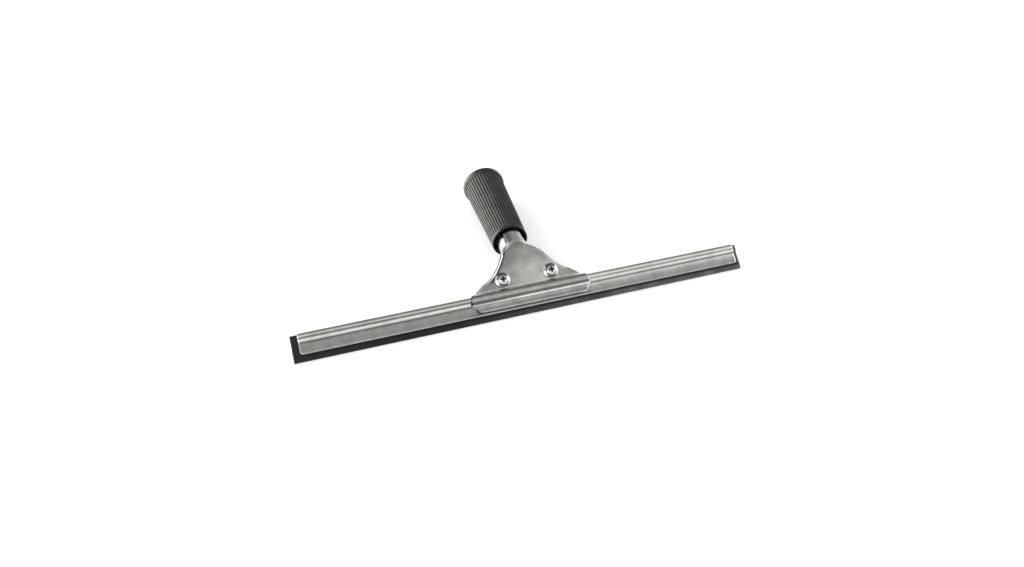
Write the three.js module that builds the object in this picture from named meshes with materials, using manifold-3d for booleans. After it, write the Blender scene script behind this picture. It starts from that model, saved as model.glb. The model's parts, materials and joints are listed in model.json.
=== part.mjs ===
// Hand squeegee for windows. A rubber blade sits in a rolled steel channel, the channel is clamped
// between the jaws of a two-plate handle, and the back plate is rolled into a socket tube under a
// ribbed rubber grip. Millimetres. X runs along the blade, Y along the handle away from the blade,
// Z up from the table it lies on. On the blade, u is the height above the wiping edge and w the
// distance in front of the blade's middle plane.

import * as THREE from 'three';
import { mergeVertices } from 'three/addons/utils/BufferGeometryUtils.js';
import Module from 'manifold-3d';

const wasm = await Module();
wasm.setup();

// Clearances
const FIT = 0.3;
const MOUTH_CLEARANCE = 1.0;
const SWING_CLEARANCE = 1.1;
const WASHER_CLEARANCE = 0.85;

// Lie of the handle
const BLADE_ANGLE = THREE.MathUtils.degToRad(36);
const BEND_RADIUS = 40;

// Rubber blade
const RUBBER_HEIGHT = 20.05;
const RUBBER_LIP = 1.8;
const RUBBER_WEB = 2.4;
const RUBBER_WEB_LEVEL = 7;
const RUBBER_NECK = 1.8;
const RUBBER_NECK_HEIGHT = 1.0;
const RUBBER_NECK_DEPTH = 6.5;
const RUBBER_BEAD = 3.8;
const RUBBER_BEAD_HEIGHT = 4.2;
const RUBBER_BEAD_CORNER = 0.8;
const LEFT_OVERHANG = 5.3;
const RIGHT_OVERHANG = 3.2;

// Channel
const CHANNEL_LENGTH = 350;
const CHANNEL_SHEET = 0.8;
const RUBBER_REVEAL = 5.05;
const SKIRT_FLARE = 0.6;
const HEM_HEIGHT = 0.9;
const HEM_FLARE = 0.25;
const RIB_RISE = 0.35;
const RIB_SPACING = 3.05;
const RIB_DROP = 0.65;
const CHANNEL_CORNER = 2.5;

// Jaw of both plates
const PLATE_SHEET = 1.2;
const JAW_LENGTH = 96;
const JAW_TOP_LENGTH = 87;
const JAW_LIP_LENGTH = 90;
const JAW_LIP_CORNER = 3.5;
const JAW_LIP_DROP = 6.1;
const JAW_LIP_FLARE = 0.55;
const JAW_LIP_ROLL = THREE.MathUtils.degToRad(115);
const JAW_CROWN = 0.25;
const JAW_SHOULDER = 0.1;

// Neck of both plates
const SHOULDER_LENGTH = 71.2;
const SHOULDER_RISE = 6.25;
const FLARE_RUN = 9.1;
const FLARE_RISE = 3;
const NECK_WIDTH = 22.4;
const NECK_RUN = 7.4;
const NECK_RISE = 16.5;
const PANEL_RAISE = 0.5;
const PANEL_RIM = 1.6;
const TONGUE_WIDTH = 13.8;
const TONGUE_REACH = 14;

// Socket tube of the back plate
const TUBE_DIAMETER = 22;
const TUBE_SEAM = 0.6;
const TUBE_RECESS = 3;
const CURL_BEFORE_BEND_END = 5;
const CURL_AFTER_BEND_END = 9;

// Screws, washers and nuts
const SCREW_SPACING = 39;
const SCREW_DIAMETER = 5;
const HEAD_DIAMETER = 8.8;
const HEAD_HEIGHT = 2.4;
const HEAD_EDGE = 0.8;
const HEAD_CROWN = 7;
const RECESS_LENGTH = 4.6;
const RECESS_WIDTH = 1.1;
const RECESS_DEPTH = 1.5;
const WASHER_DIAMETER = 11.6;
const WASHER_THICKNESS = 1;
const NUT_FLATS = 8;
const NUT_HEIGHT = 4;
const NUT_CHAMFER = 0.5;
const SCREW_PROTRUSION = 1.5;

// Grip
const GRIP_SETBACK = 13.8;
const GRIP_LENGTH = 84.4;
const GRIP_WALL = 1.4;
const GRIP_TAPER = 5;
const COLLAR_DIAMETER = 37.4;
const COLLAR_LENGTH = 9;
const COLLAR_BAND = 2;
const RIBBED_FLARE = 0.5;
const MOUTH_RIM = 2.4;
const RIM_ROUNDING = 0.9;
const RIB_COUNT = 42;
const RIB_HEIGHT = 0.7;

// Facets of the curves
const CORNER_STEPS = 4;
const JAW_STEPS = 4;
const OUTLINE_STEPS = 8;
const HEAD_STEPS = 36;
const CURL_STEPS = 8;
const COLLAR_STEPS = 6;
const ROUND_SIDES = 24;
const PANEL_COLUMNS = 8;
const TUBE_COLUMNS = 20;
const RIB_POINTS = 3;

// Levels on the blade, from the wiping edge up
const neckLevel = RUBBER_HEIGHT - RUBBER_NECK_DEPTH;
const beadLow = RUBBER_HEIGHT - RUBBER_BEAD_HEIGHT;
const beadMiddle = (beadLow + RUBBER_HEIGHT) / 2 - RUBBER_BEAD_CORNER / 2;
const grooveLevel = beadMiddle - RIB_DROP;
const channelTop = RUBBER_HEIGHT + FIT + CHANNEL_SHEET;
const jawLow = neckLevel - JAW_LIP_DROP;
const panelStart = channelTop + FIT + PLATE_SHEET / 2 + JAW_SHOULDER;
const washerRadius = WASHER_DIAMETER / 2;
const screwLevel = panelStart + PLATE_SHEET / 2 + WASHER_CLEARANCE + washerRadius;

// Distances from the blade's middle plane
const sheetHalf = CHANNEL_SHEET / 2;
const waistMiddle = RUBBER_NECK / 2 + FIT + sheetHalf;
const grooveMiddle = RUBBER_BEAD / 2 + FIT + sheetHalf;
const ribMiddle = grooveMiddle + RIB_RISE;
const skirtMiddle = RUBBER_WEB / 2 + FIT + sheetHalf + SKIRT_FLARE;
const jawStandoff = sheetHalf + FIT + PLATE_SHEET / 2;
const plateLift = (FIT + PLATE_SHEET) / 2;
const panelLift = plateLift + PANEL_RAISE;
const panelFront = panelLift + PLATE_SHEET / 2;
const washerLow = panelFront + FIT;
const headLow = washerLow + WASHER_THICKNESS + FIT;
const nutHigh = -(plateLift + PLATE_SHEET / 2 + FIT);
const screwEnd = nutHigh - NUT_HEIGHT - SCREW_PROTRUSION;

// The parting line between the plates rises with the blade, bends level and follows the tube's crown.
const edgeHeight = (RUBBER_LIP / 2) * Math.cos(BLADE_ANGLE);
const axisHeight = COLLAR_DIAMETER / 2;
const curlRadius = (TUBE_DIAMETER + FIT) / 2;
const crownRise = axisHeight + curlRadius - edgeHeight;
const bendTangent = BEND_RADIUS * Math.tan(BLADE_ANGLE / 2);
const bendStart = crownRise / Math.sin(BLADE_ANGLE) - bendTangent;
const bendEnd = bendStart + BEND_RADIUS * BLADE_ANGLE;
const neckStart = bendEnd - PANEL_RIM * 2;
const tongueEnd = bendEnd + GRIP_SETBACK + TONGUE_REACH;
const gripStart = crownRise / Math.tan(BLADE_ANGLE) + bendTangent + GRIP_SETBACK;
const gripEnd = gripStart + GRIP_LENGTH;
const tubeEnd = bendEnd + GRIP_SETBACK + GRIP_LENGTH - TUBE_RECESS;
const mouthRadius = curlRadius + plateLift + PLATE_SHEET / 2 + MOUTH_CLEARANCE;
const middleY = (gripEnd - (RUBBER_LIP / 2) * Math.sin(BLADE_ANGLE)) / 2;

// Materials

function steel(color, roughness) {
  return new THREE.MeshStandardMaterial({ color, roughness, metalness: 0.95 });
}

function rubber(color) {
  return new THREE.MeshStandardMaterial({ color, roughness: 0.75, metalness: 0 });
}

// Solids

function solidFrom(geometry) {
  const bare = geometry.clone();
  bare.deleteAttribute('normal');
  bare.deleteAttribute('uv');
  const merged = mergeVertices(bare);
  const corners = Array.from(merged.index.array);
  const kept = [];
  for (let i = 0; i < corners.length; i += 3) {
    const [a, b, c] = corners.slice(i, i + 3);
    if (a !== b && b !== c && c !== a) {
      kept.push(a, b, c);
    }
  }
  const vertProperties = new Float32Array(merged.attributes.position.array);
  const triVerts = new Uint32Array(kept);
  return new wasm.Manifold(new wasm.Mesh({ numProp: 3, vertProperties, triVerts }));
}

function geometryFrom(solid) {
  const mesh = solid.getMesh();
  return meshGeometry(mesh.vertProperties, mesh.triVerts);
}

function meshGeometry(positions, corners) {
  const geometry = new THREE.BufferGeometry();
  geometry.setAttribute('position', new THREE.BufferAttribute(new Float32Array(positions), 3));
  geometry.setIndex(Array.from(corners));
  geometry.computeVertexNormals();
  return geometry;
}

function cut(geometry, cutters) {
  const start = solidFrom(geometry);
  const left = cutters.reduce((solid, cutter) => solid.subtract(solidFrom(cutter)), start);
  return geometryFrom(left);
}

// A closed solid between two grids of points with the same rows and columns.
function solidBetween(front, back) {
  const rows = front.length;
  const columns = front[0].length;
  const lastRow = rows - 1;
  const lastCol = columns - 1;
  const positions = [...front.flat(), ...back.flat()].flatMap((point) => point.toArray());
  const onFront = (row, column) => row * columns + column;
  const onBack = (row, column) => (rows + row) * columns + column;
  const corners = [];
  const quad = (a, b, c, d) => corners.push(a, b, c, a, c, d);
  for (let r = 0; r < lastRow; r += 1) {
    for (let c = 0; c < lastCol; c += 1) {
      quad(onFront(r, c), onFront(r, c + 1), onFront(r + 1, c + 1), onFront(r + 1, c));
      quad(onBack(r, c), onBack(r + 1, c), onBack(r + 1, c + 1), onBack(r, c + 1));
    }
    quad(onFront(r, 0), onFront(r + 1, 0), onBack(r + 1, 0), onBack(r, 0));
    quad(onFront(r + 1, lastCol), onFront(r, lastCol), onBack(r, lastCol), onBack(r + 1, lastCol));
  }
  for (let c = 0; c < lastCol; c += 1) {
    quad(onFront(0, c + 1), onFront(0, c), onBack(0, c), onBack(0, c + 1));
    quad(onFront(lastRow, c), onFront(lastRow, c + 1), onBack(lastRow, c + 1), onBack(lastRow, c));
  }
  return meshGeometry(positions, corners);
}

// A closed solid through rings of points, with a fan over each end.
function solidThrough(rings) {
  const sides = rings[0].length;
  const centre = (ring) => ring.reduce((sum, p) => sum.add(p), new THREE.Vector3()).divideScalar(sides);
  const points = [...rings.flat(), centre(rings[0]), centre(rings[rings.length - 1])];
  const firstCentre = points.length - 2;
  const lastCentre = points.length - 1;
  const corners = [];
  for (let k = 0; k < sides; k += 1) {
    const next = (k + 1) % sides;
    for (let r = 0; r + 1 < rings.length; r += 1) {
      const low = r * sides;
      const high = low + sides;
      corners.push(low + k, high + k, high + next, low + k, high + next, low + next);
    }
    const last = (rings.length - 1) * sides;
    corners.push(firstCentre, k, next, lastCentre, last + next, last + k);
  }
  return meshGeometry(points.flatMap((point) => point.toArray()), corners);
}

// Extrudes a blade outline, drawn as u across and w up, along X between two ends.
function bladeExtrusion(outline, left, right) {
  const shape = new THREE.Shape(outline);
  const geometry = new THREE.ExtrudeGeometry(shape, { depth: right - left, bevelEnabled: false });
  const x = new THREE.Vector3(1, 0, 0);
  const y = new THREE.Vector3(0, 1, 0);
  const z = new THREE.Vector3(0, 0, 1);
  return geometry.applyMatrix4(new THREE.Matrix4().makeBasis(y, z, x)).translate(left, 0, 0);
}

function mirrored(half) {
  return [...half, ...half.map((point) => new THREE.Vector2(point.x, -point.y)).reverse()];
}

function offsetLine(line, distance) {
  return line.map((point, i) => {
    const before = line[Math.max(i - 1, 0)];
    const after = line[Math.min(i + 1, line.length - 1)];
    const run = after.clone().sub(before).normalize();
    return new THREE.Vector2(point.x - run.y * distance, point.y + run.x * distance);
  });
}

// Blade frame: its Y is u, its Z is w.
const bladeMatrix = new THREE.Matrix4().makeRotationX(BLADE_ANGLE).setPosition(0, 0, edgeHeight);

// Rubber blade: a wiping lip, a web, a neck that the channel's waist holds and a square bead on top.
function rubberGeometry() {
  const beadHalf = RUBBER_BEAD / 2;
  const corner = RUBBER_BEAD_CORNER;
  const half = new THREE.Path();
  half.moveTo(0, RUBBER_LIP / 2);
  half.lineTo(RUBBER_WEB_LEVEL, RUBBER_WEB / 2);
  half.lineTo(neckLevel - RUBBER_NECK_HEIGHT / 2, RUBBER_NECK / 2);
  half.lineTo(neckLevel + RUBBER_NECK_HEIGHT / 2, RUBBER_NECK / 2);
  half.lineTo(beadLow, beadHalf);
  half.absarc(RUBBER_HEIGHT - corner, beadHalf - corner, corner, Math.PI / 2, 0, true);
  const left = -CHANNEL_LENGTH / 2 - LEFT_OVERHANG;
  const right = CHANNEL_LENGTH / 2 + RIGHT_OVERHANG;
  return bladeExtrusion(mirrored(half.getPoints(CORNER_STEPS)), left, right);
}

// Channel: sheet rolled round the bead with two stiffening ribs a side, a waist, a flat skirt and a
// flared hem.
function channelGeometry() {
  const topMiddle = channelTop - sheetHalf;
  const head = new THREE.SplineCurve(mirrored([
    new THREE.Vector2(neckLevel, waistMiddle),
    new THREE.Vector2(grooveLevel - RIB_SPACING / 2, ribMiddle),
    new THREE.Vector2(grooveLevel, grooveMiddle),
    new THREE.Vector2(grooveLevel + RIB_SPACING / 2, ribMiddle),
    new THREE.Vector2(topMiddle - sheetHalf / 2, grooveMiddle - RUBBER_BEAD_CORNER),
    new THREE.Vector2(topMiddle, sheetHalf),
  ]));
  const skirt = [
    new THREE.Vector2(RUBBER_REVEAL, skirtMiddle + HEM_FLARE),
    new THREE.Vector2(RUBBER_REVEAL + HEM_HEIGHT, skirtMiddle),
  ];
  const otherSkirt = mirrored(skirt).slice(skirt.length);
  const line = [...skirt, ...head.getPoints(HEAD_STEPS), ...otherSkirt];
  const outline = [...offsetLine(line, sheetHalf), ...offsetLine(line, -sheetHalf).reverse()];
  const end = CHANNEL_LENGTH / 2;
  const corners = [-1, 1].map((side) => cornerCutter(side * end, RUBBER_REVEAL, -side));
  return cut(bladeExtrusion(outline, -end, end), corners);
}

// What is taken off a square lower corner of the channel to leave it round.
function cornerCutter(x, u, inward) {
  const depth = 2 * (skirtMiddle + HEM_FLARE + CHANNEL_SHEET);
  const outside = x - inward * CHANNEL_CORNER;
  const inside = x + inward * CHANNEL_CORNER;
  const below = u - CHANNEL_CORNER;
  const above = u + CHANNEL_CORNER;
  const endAngle = inward > 0 ? -Math.PI : 0;
  const shape = new THREE.Shape();
  shape.moveTo(outside, below);
  shape.lineTo(inside, below);
  shape.lineTo(inside, u);
  shape.absarc(inside, above, CHANNEL_CORNER, -Math.PI / 2, endAngle, inward > 0);
  shape.lineTo(outside, above);
  const settings = { depth, bevelEnabled: false, curveSegments: CORNER_STEPS };
  return new THREE.ExtrudeGeometry(shape, settings).translate(0, 0, -depth / 2);
}

// Place on a plate: s runs up the parting line, across runs sideways on the plate's surface, and lift
// stands off in front. Past a narrowing flat the surface curls down round the tube's axis.
function place(s, across, lift) {
  const slope = BLADE_ANGLE - THREE.MathUtils.clamp((s - bendStart) / BEND_RADIUS, 0, BLADE_ANGLE);
  const rising = Math.min(s, bendStart);
  const level = Math.max(s - bendEnd, 0);
  const arcRun = BEND_RADIUS * (Math.sin(BLADE_ANGLE) - Math.sin(slope));
  const arcRise = BEND_RADIUS * (Math.cos(slope) - Math.cos(BLADE_ANGLE));
  const crownY = rising * Math.cos(BLADE_ANGLE) + arcRun + level;
  const crownZ = edgeHeight + rising * Math.sin(BLADE_ANGLE) + arcRise;
  const flat = halfWidth(bendStart) * (1 - THREE.MathUtils.smoothstep(s, bendStart, bendEnd));
  const flatPart = s < bendStart ? Math.abs(across) : Math.min(Math.abs(across), flat);
  const turn = (Math.abs(across) - flatPart) / curlRadius;
  const radius = curlRadius + lift;
  const x = Math.sign(across) * (flatPart + radius * Math.sin(turn));
  const up = radius * Math.cos(turn) - curlRadius;
  return new THREE.Vector3(x, crownY - up * Math.sin(slope), crownZ + up * Math.cos(slope));
}

// Outline of the plates, half width against s: the jaw's rounded end, the shoulder, the flare and the
// tongue.
const plateOutline = plateOutlinePath().getPoints(OUTLINE_STEPS);

function plateOutlinePath() {
  const neckHalf = NECK_WIDTH / 2;
  const shoulderHalf = SHOULDER_LENGTH / 2;
  const shoulderLevel = panelStart + SHOULDER_RISE;
  const outline = new THREE.Path();
  outline.moveTo(JAW_LIP_LENGTH / 2 - JAW_LIP_CORNER, jawLow);
  outline.quadraticCurveTo(JAW_LIP_LENGTH / 2, jawLow, JAW_LIP_LENGTH / 2, jawLow + JAW_LIP_CORNER);
  outline.lineTo(JAW_LENGTH / 2, neckLevel);
  outline.quadraticCurveTo(JAW_LENGTH / 2, panelStart, JAW_TOP_LENGTH / 2, panelStart);
  outline.lineTo(shoulderHalf, shoulderLevel);
  outline.bezierCurveTo(
    shoulderHalf - FLARE_RUN, shoulderLevel + FLARE_RISE,
    neckHalf + NECK_RUN, neckStart - NECK_RISE,
    neckHalf, neckStart,
  );
  outline.lineTo(neckHalf, bendEnd - PANEL_RIM);
  outline.lineTo(TONGUE_WIDTH / 2, bendEnd + PANEL_RIM);
  outline.lineTo(TONGUE_WIDTH / 2, tongueEnd);
  return outline;
}

function halfWidth(s) {
  const found = plateOutline.findIndex((point) => point.y >= s);
  const next = found < 0 ? plateOutline.length - 1 : found;
  const above = plateOutline[next];
  const below = plateOutline[Math.max(next - 1, 0)];
  const share = above.y > below.y ? (s - below.y) / (above.y - below.y) : 0;
  return THREE.MathUtils.lerp(below.x, above.x, THREE.MathUtils.clamp(share, 0, 1));
}

// Middle line of a jaw, as s and lift: a rounded lip, a crease into the channel's waist, and a bead that
// rises over the channel's ribs and drops to the neck at the given lift.
function jawLine(neckLift) {
  const creaseLift = waistMiddle + jawStandoff;
  const crownLift = ribMiddle + jawStandoff + JAW_CROWN;
  const lipShare = (neckLevel - jawLow) / (neckLevel - RUBBER_REVEAL - HEM_HEIGHT);
  const lipLift = THREE.MathUtils.lerp(waistMiddle, skirtMiddle, lipShare) + jawStandoff + JAW_LIP_FLARE;
  const line = [];
  for (let k = 0; k < JAW_STEPS; k += 1) {
    const drop = 1 - k / JAW_STEPS;
    const lift = THREE.MathUtils.lerp(creaseLift, lipLift, Math.sin(drop * JAW_LIP_ROLL));
    line.push(new THREE.Vector2(neckLevel - JAW_LIP_DROP * drop, lift));
  }
  for (let k = 0; k <= 2 * JAW_STEPS; k += 1) {
    const angle = Math.PI * (1 - k / (2 * JAW_STEPS));
    const foot = k < JAW_STEPS ? creaseLift : neckLift;
    const reach = k < JAW_STEPS ? beadMiddle - neckLevel : panelStart - beadMiddle;
    const lift = THREE.MathUtils.lerp(foot, crownLift, Math.sin(angle));
    line.push(new THREE.Vector2(beadMiddle + reach * Math.cos(angle), lift));
  }
  return line;
}

// Sheet metal that follows a middle line, with columns across it and an extra lift at each point.
function plateGeometry(line, side, columnsAt, extraLift) {
  const face = (offset) => offsetLine(line, offset).map((point, i) => {
    const s = line[i].x;
    return columnsAt(s).map((across) => place(point.x, across, side * (point.y + extraLift(s, across))));
  });
  const outer = face(PLATE_SHEET / 2);
  const inner = face(-PLATE_SHEET / 2);
  return side > 0 ? solidBetween(outer, inner) : solidBetween(inner, outer);
}

// What is drilled out for the two screws.
function screwHoles(radius) {
  const depth = 2 * (headLow - screwEnd);
  return [-1, 1].map((side) => {
    const hole = new THREE.CylinderGeometry(radius, radius, depth, ROUND_SIDES).rotateX(Math.PI / 2);
    return hole.translate((side * SCREW_SPACING) / 2, screwLevel, 0).applyMatrix4(bladeMatrix);
  });
}

function lerps(from, to, steps) {
  return Array.from({ length: steps + 1 }, (_, k) => THREE.MathUtils.lerp(from, to, k / steps));
}

// Front plate: jaw, raised panel with a sloped rim, and a tongue that lies on the crown of the tube.
function frontPlateGeometry() {
  const panelLow = panelStart + PANEL_RIM;
  const panelTop = bendEnd - PANEL_RIM;
  const outlineLevels = plateOutline.map((point) => point.y);
  const panelLevels = outlineLevels.filter((s) => s > panelLow && s < neckStart);
  const line = [
    ...jawLine(panelLift),
    ...[panelLow, ...panelLevels, neckStart, panelTop].map((s) => new THREE.Vector2(s, panelLift)),
    ...[bendEnd, bendEnd + PANEL_RIM, tongueEnd].map((s) => new THREE.Vector2(s, plateLift)),
  ];
  const columnsAt = (s) => {
    const half = halfWidth(s);
    return [-half, ...lerps(PANEL_RIM - half, half - PANEL_RIM, PANEL_COLUMNS), half];
  };
  const rimDrop = (s, across) => {
    const onRim = Math.abs(across) > halfWidth(s) - PANEL_RIM / 2;
    const onPanel = s > panelStart + PANEL_RIM / 2 && s < bendEnd - PANEL_RIM / 2;
    return onRim && onPanel ? -PANEL_RAISE : 0;
  };
  const sheet = plateGeometry(line, 1, columnsAt, rimDrop);
  return cut(sheet, screwHoles(SCREW_DIAMETER / 2 + SWING_CLEARANCE));
}

// Back plate: the same jaw and neck, then flanks that curl down and close into a tube, its seam beneath.
function backPlateGeometry() {
  const curlStart = bendEnd - CURL_BEFORE_BEND_END;
  const curlEnd = bendEnd + CURL_AFTER_BEND_END;
  const wrap = Math.PI * curlRadius - TUBE_SEAM / 2;
  const outlineLevels = plateOutline.map((point) => point.y);
  const neckLevels = outlineLevels.filter((s) => s > panelStart && s < curlStart);
  const levels = [...neckLevels, ...lerps(curlStart, curlEnd, CURL_STEPS), tubeEnd];
  const line = [...jawLine(plateLift), ...levels.map((s) => new THREE.Vector2(s, plateLift))];
  const columnsAt = (s) => {
    const closing = THREE.MathUtils.smoothstep(s, curlStart, curlEnd);
    const half = THREE.MathUtils.lerp(halfWidth(s), wrap, closing);
    return lerps(-half, half, TUBE_COLUMNS);
  };
  return cut(plateGeometry(line, -1, columnsAt, () => 0), screwHoles(SCREW_DIAMETER / 2 + FIT));
}

// Screw with a domed cross-recess head, standing on the underside of its head.
function screwGeometry() {
  const radius = SCREW_DIAMETER / 2;
  const tip = screwEnd - headLow;
  const profile = new THREE.Path();
  profile.moveTo(0, tip);
  profile.lineTo(radius - FIT, tip);
  profile.lineTo(radius, tip + FIT);
  profile.lineTo(radius, 0);
  profile.lineTo(HEAD_DIAMETER / 2, 0);
  profile.lineTo(HEAD_DIAMETER / 2, HEAD_EDGE);
  profile.quadraticCurveTo(HEAD_CROWN / 2, HEAD_HEIGHT, 0, HEAD_HEIGHT);
  const body = new THREE.LatheGeometry(profile.getPoints(CORNER_STEPS), ROUND_SIDES);
  const slots = [0, Math.PI / 2].map((turn) => {
    const slot = new THREE.BoxGeometry(RECESS_LENGTH, 2 * RECESS_DEPTH, RECESS_WIDTH);
    return slot.rotateY(turn).translate(0, HEAD_HEIGHT, 0);
  });
  return cut(body, slots).rotateX(Math.PI / 2);
}

function washerGeometry() {
  const bore = SCREW_DIAMETER / 2 + FIT;
  const profile = [
    new THREE.Vector2(bore, 0),
    new THREE.Vector2(washerRadius, 0),
    new THREE.Vector2(washerRadius, WASHER_THICKNESS),
    new THREE.Vector2(bore, WASHER_THICKNESS),
    new THREE.Vector2(bore, 0),
  ];
  return new THREE.LatheGeometry(profile, ROUND_SIDES).rotateX(Math.PI / 2);
}

// Hexagon nut, its corners turned off at both faces.
function nutGeometry() {
  const sides = 6;
  const flat = NUT_FLATS / 2;
  const corner = flat / Math.cos(Math.PI / sides);
  const half = NUT_HEIGHT / 2;
  const bore = SCREW_DIAMETER / 2 + FIT;
  const hexagon = new THREE.CylinderGeometry(corner, corner, NUT_HEIGHT, sides);
  const turned = new THREE.LatheGeometry([
    new THREE.Vector2(0, -half),
    new THREE.Vector2(flat, -half),
    new THREE.Vector2(corner, NUT_CHAMFER - half),
    new THREE.Vector2(corner, half - NUT_CHAMFER),
    new THREE.Vector2(flat, half),
    new THREE.Vector2(0, half),
  ], ROUND_SIDES);
  const blank = geometryFrom(solidFrom(hexagon).intersect(solidFrom(turned)));
  const hole = new THREE.CylinderGeometry(bore, bore, 2 * NUT_HEIGHT, ROUND_SIDES);
  return cut(blank, [hole]).rotateX(Math.PI / 2).translate(0, 0, -half);
}

// Grip: a tapered sleeve with lengthwise ribs between two plain rims, flared into a collar at its far end.
function gripGeometry() {
  const body = mouthRadius + GRIP_WALL;
  const collar = COLLAR_DIAMETER / 2;
  const flareStart = GRIP_LENGTH - COLLAR_LENGTH;
  const flareEnd = GRIP_LENGTH - COLLAR_BAND;
  const stations = [
    { along: 0, radius: body - RIM_ROUNDING, rib: 0 },
    { along: RIM_ROUNDING, radius: body, rib: 0 },
    { along: MOUTH_RIM, radius: body, rib: 0 },
    { along: MOUTH_RIM + RIB_HEIGHT, radius: body, rib: RIB_HEIGHT },
  ];
  for (let k = 0; k <= COLLAR_STEPS; k += 1) {
    const share = k / COLLAR_STEPS;
    const swell = THREE.MathUtils.smoothstep(share, 0, 1);
    const along = THREE.MathUtils.lerp(flareStart, flareEnd, share);
    const radius = THREE.MathUtils.lerp(body + GRIP_TAPER / 2, collar, swell);
    stations.push({ along, radius, rib: share < RIBBED_FLARE ? RIB_HEIGHT : 0 });
  }
  stations.push(
    { along: GRIP_LENGTH - RIM_ROUNDING, radius: collar, rib: 0 },
    { along: GRIP_LENGTH, radius: collar - RIM_ROUNDING, rib: 0 },
  );
  const rings = stations.map(({ along, radius, rib }) => gripRing(gripStart + along, radius, rib));
  return cut(solidThrough(rings), [gripBore()]);
}

// One ring round the grip. Each rib has the foot of its groove and then its two edges.
function gripRing(y, radius, rib) {
  const points = RIB_POINTS * RIB_COUNT;
  const ring = [];
  for (let k = 0; k < points; k += 1) {
    const angle = (2 * Math.PI * k) / points;
    const reach = k % RIB_POINTS === 0 ? radius - rib : radius;
    ring.push(new THREE.Vector3(reach * Math.sin(angle), y, axisHeight - reach * Math.cos(angle)));
  }
  return ring;
}

// The bore holds the tube, and a wider mouth takes the tongue of the front plate as well.
function gripBore() {
  const bore = TUBE_DIAMETER / 2 + FIT;
  const mouthEnd = TONGUE_REACH + MOUTH_CLEARANCE;
  const profile = [
    new THREE.Vector2(0, -MOUTH_CLEARANCE),
    new THREE.Vector2(mouthRadius, -MOUTH_CLEARANCE),
    new THREE.Vector2(mouthRadius, mouthEnd),
    new THREE.Vector2(bore, mouthEnd + mouthRadius - bore),
    new THREE.Vector2(bore, GRIP_LENGTH + MOUTH_CLEARANCE),
    new THREE.Vector2(0, GRIP_LENGTH + MOUTH_CLEARANCE),
  ];
  return new THREE.LatheGeometry(profile, ROUND_SIDES).translate(0, gripStart, axisHeight);
}

// Assembly

function piece(name, geometry, material) {
  const mesh = new THREE.Mesh(geometry, material);
  mesh.name = name;
  return mesh;
}

const squeegee = new THREE.Group();
squeegee.position.y = -middleY;

const blade = new THREE.Group();
blade.applyMatrix4(bladeMatrix);
squeegee.add(blade);

blade.add(piece('rubber_blade', rubberGeometry(), rubber(0x1c1c1b)));
blade.add(piece('channel', channelGeometry(), steel(0xa6a6a2, 0.3)));
squeegee.add(piece('front_plate', frontPlateGeometry(), steel(0x9c9c98, 0.32)));
squeegee.add(piece('back_plate', backPlateGeometry(), steel(0x9c9c98, 0.32)));
squeegee.add(piece('grip', gripGeometry(), rubber(0x363634)));

for (const [side, hand] of [['left', -1], ['right', 1]]) {
  const x = (hand * SCREW_SPACING) / 2;
  const screw = piece(`${side}_screw`, screwGeometry(), steel(0xc4c4c0, 0.22));
  const washer = piece(`${side}_washer`, washerGeometry(), steel(0xbcbcb8, 0.25));
  const nut = piece(`${side}_nut`, nutGeometry(), steel(0xb0b0ac, 0.35));
  screw.position.set(x, screwLevel, headLow);
  washer.position.set(x, screwLevel, washerLow);
  nut.position.set(x, screwLevel, nutHigh);
  blade.add(screw, washer, nut);
}

export default squeegee;
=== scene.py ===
import bisect
import json
import math

import bmesh
import bpy
from mathutils import Euler, Matrix, Quaternion, Vector


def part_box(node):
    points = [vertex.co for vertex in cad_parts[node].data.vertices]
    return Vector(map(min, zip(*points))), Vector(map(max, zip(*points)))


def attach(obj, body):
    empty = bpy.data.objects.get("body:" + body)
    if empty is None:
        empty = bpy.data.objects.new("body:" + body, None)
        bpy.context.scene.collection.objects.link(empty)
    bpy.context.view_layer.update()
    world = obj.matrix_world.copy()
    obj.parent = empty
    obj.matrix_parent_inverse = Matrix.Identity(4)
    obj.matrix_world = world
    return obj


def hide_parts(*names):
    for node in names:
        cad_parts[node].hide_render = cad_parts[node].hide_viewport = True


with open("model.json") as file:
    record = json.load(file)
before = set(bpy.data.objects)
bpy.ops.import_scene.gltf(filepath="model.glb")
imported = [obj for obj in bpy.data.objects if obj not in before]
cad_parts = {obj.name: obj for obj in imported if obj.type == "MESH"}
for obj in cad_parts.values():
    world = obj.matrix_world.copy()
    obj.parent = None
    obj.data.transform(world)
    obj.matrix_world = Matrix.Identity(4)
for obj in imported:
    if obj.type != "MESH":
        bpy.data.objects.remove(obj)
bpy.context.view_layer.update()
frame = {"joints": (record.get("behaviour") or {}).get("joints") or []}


# Rubber blade. A strip of black natural rubber whose bead slides along inside the channel.
# It is moulded as a pair and slit apart, which leaves the wiping edge square and the faces faintly
# lined along their length.

MM = 0.001
FIT = 0.3 * MM
BLADE_ANGLE = math.radians(36)
RUBBER_HEIGHT = 20.05 * MM
RUBBER_LIP = 1.8 * MM
RUBBER_WEB = 2.4 * MM
RUBBER_WEB_LEVEL = 7 * MM
RUBBER_NECK = 1.8 * MM
RUBBER_NECK_HEIGHT = 1 * MM
NECK_LEVEL = RUBBER_HEIGHT - 6.5 * MM
RUBBER_BEAD = 3.8 * MM
BEAD_LEVEL = RUBBER_HEIGHT - 4.2 * MM
BEAD_CORNER = 0.8 * MM
SLIT_CORNER = 0.08 * MM
MOULD_CORNER = 0.5 * MM
WEB_ROUNDING = 6 * MM
RUBBER_STEP = 6 * MM
RUBBER_IOR = 1.52
BLOOM_SIZE = 11 * MM
# Between these places along it, the rubber is painted lighter towards the right, where light falls on it.
LIGHT_RAMP_START = -60 * MM
LIGHT_RAMP_END = 100 * MM
SLIT_LINE_SPACING = 0.35 * MM
SLIT_LINE_LENGTH = 40 * MM
SLIT_LINE_DEPTH = 0.02 * MM
FILLET_STEPS = 5
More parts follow.
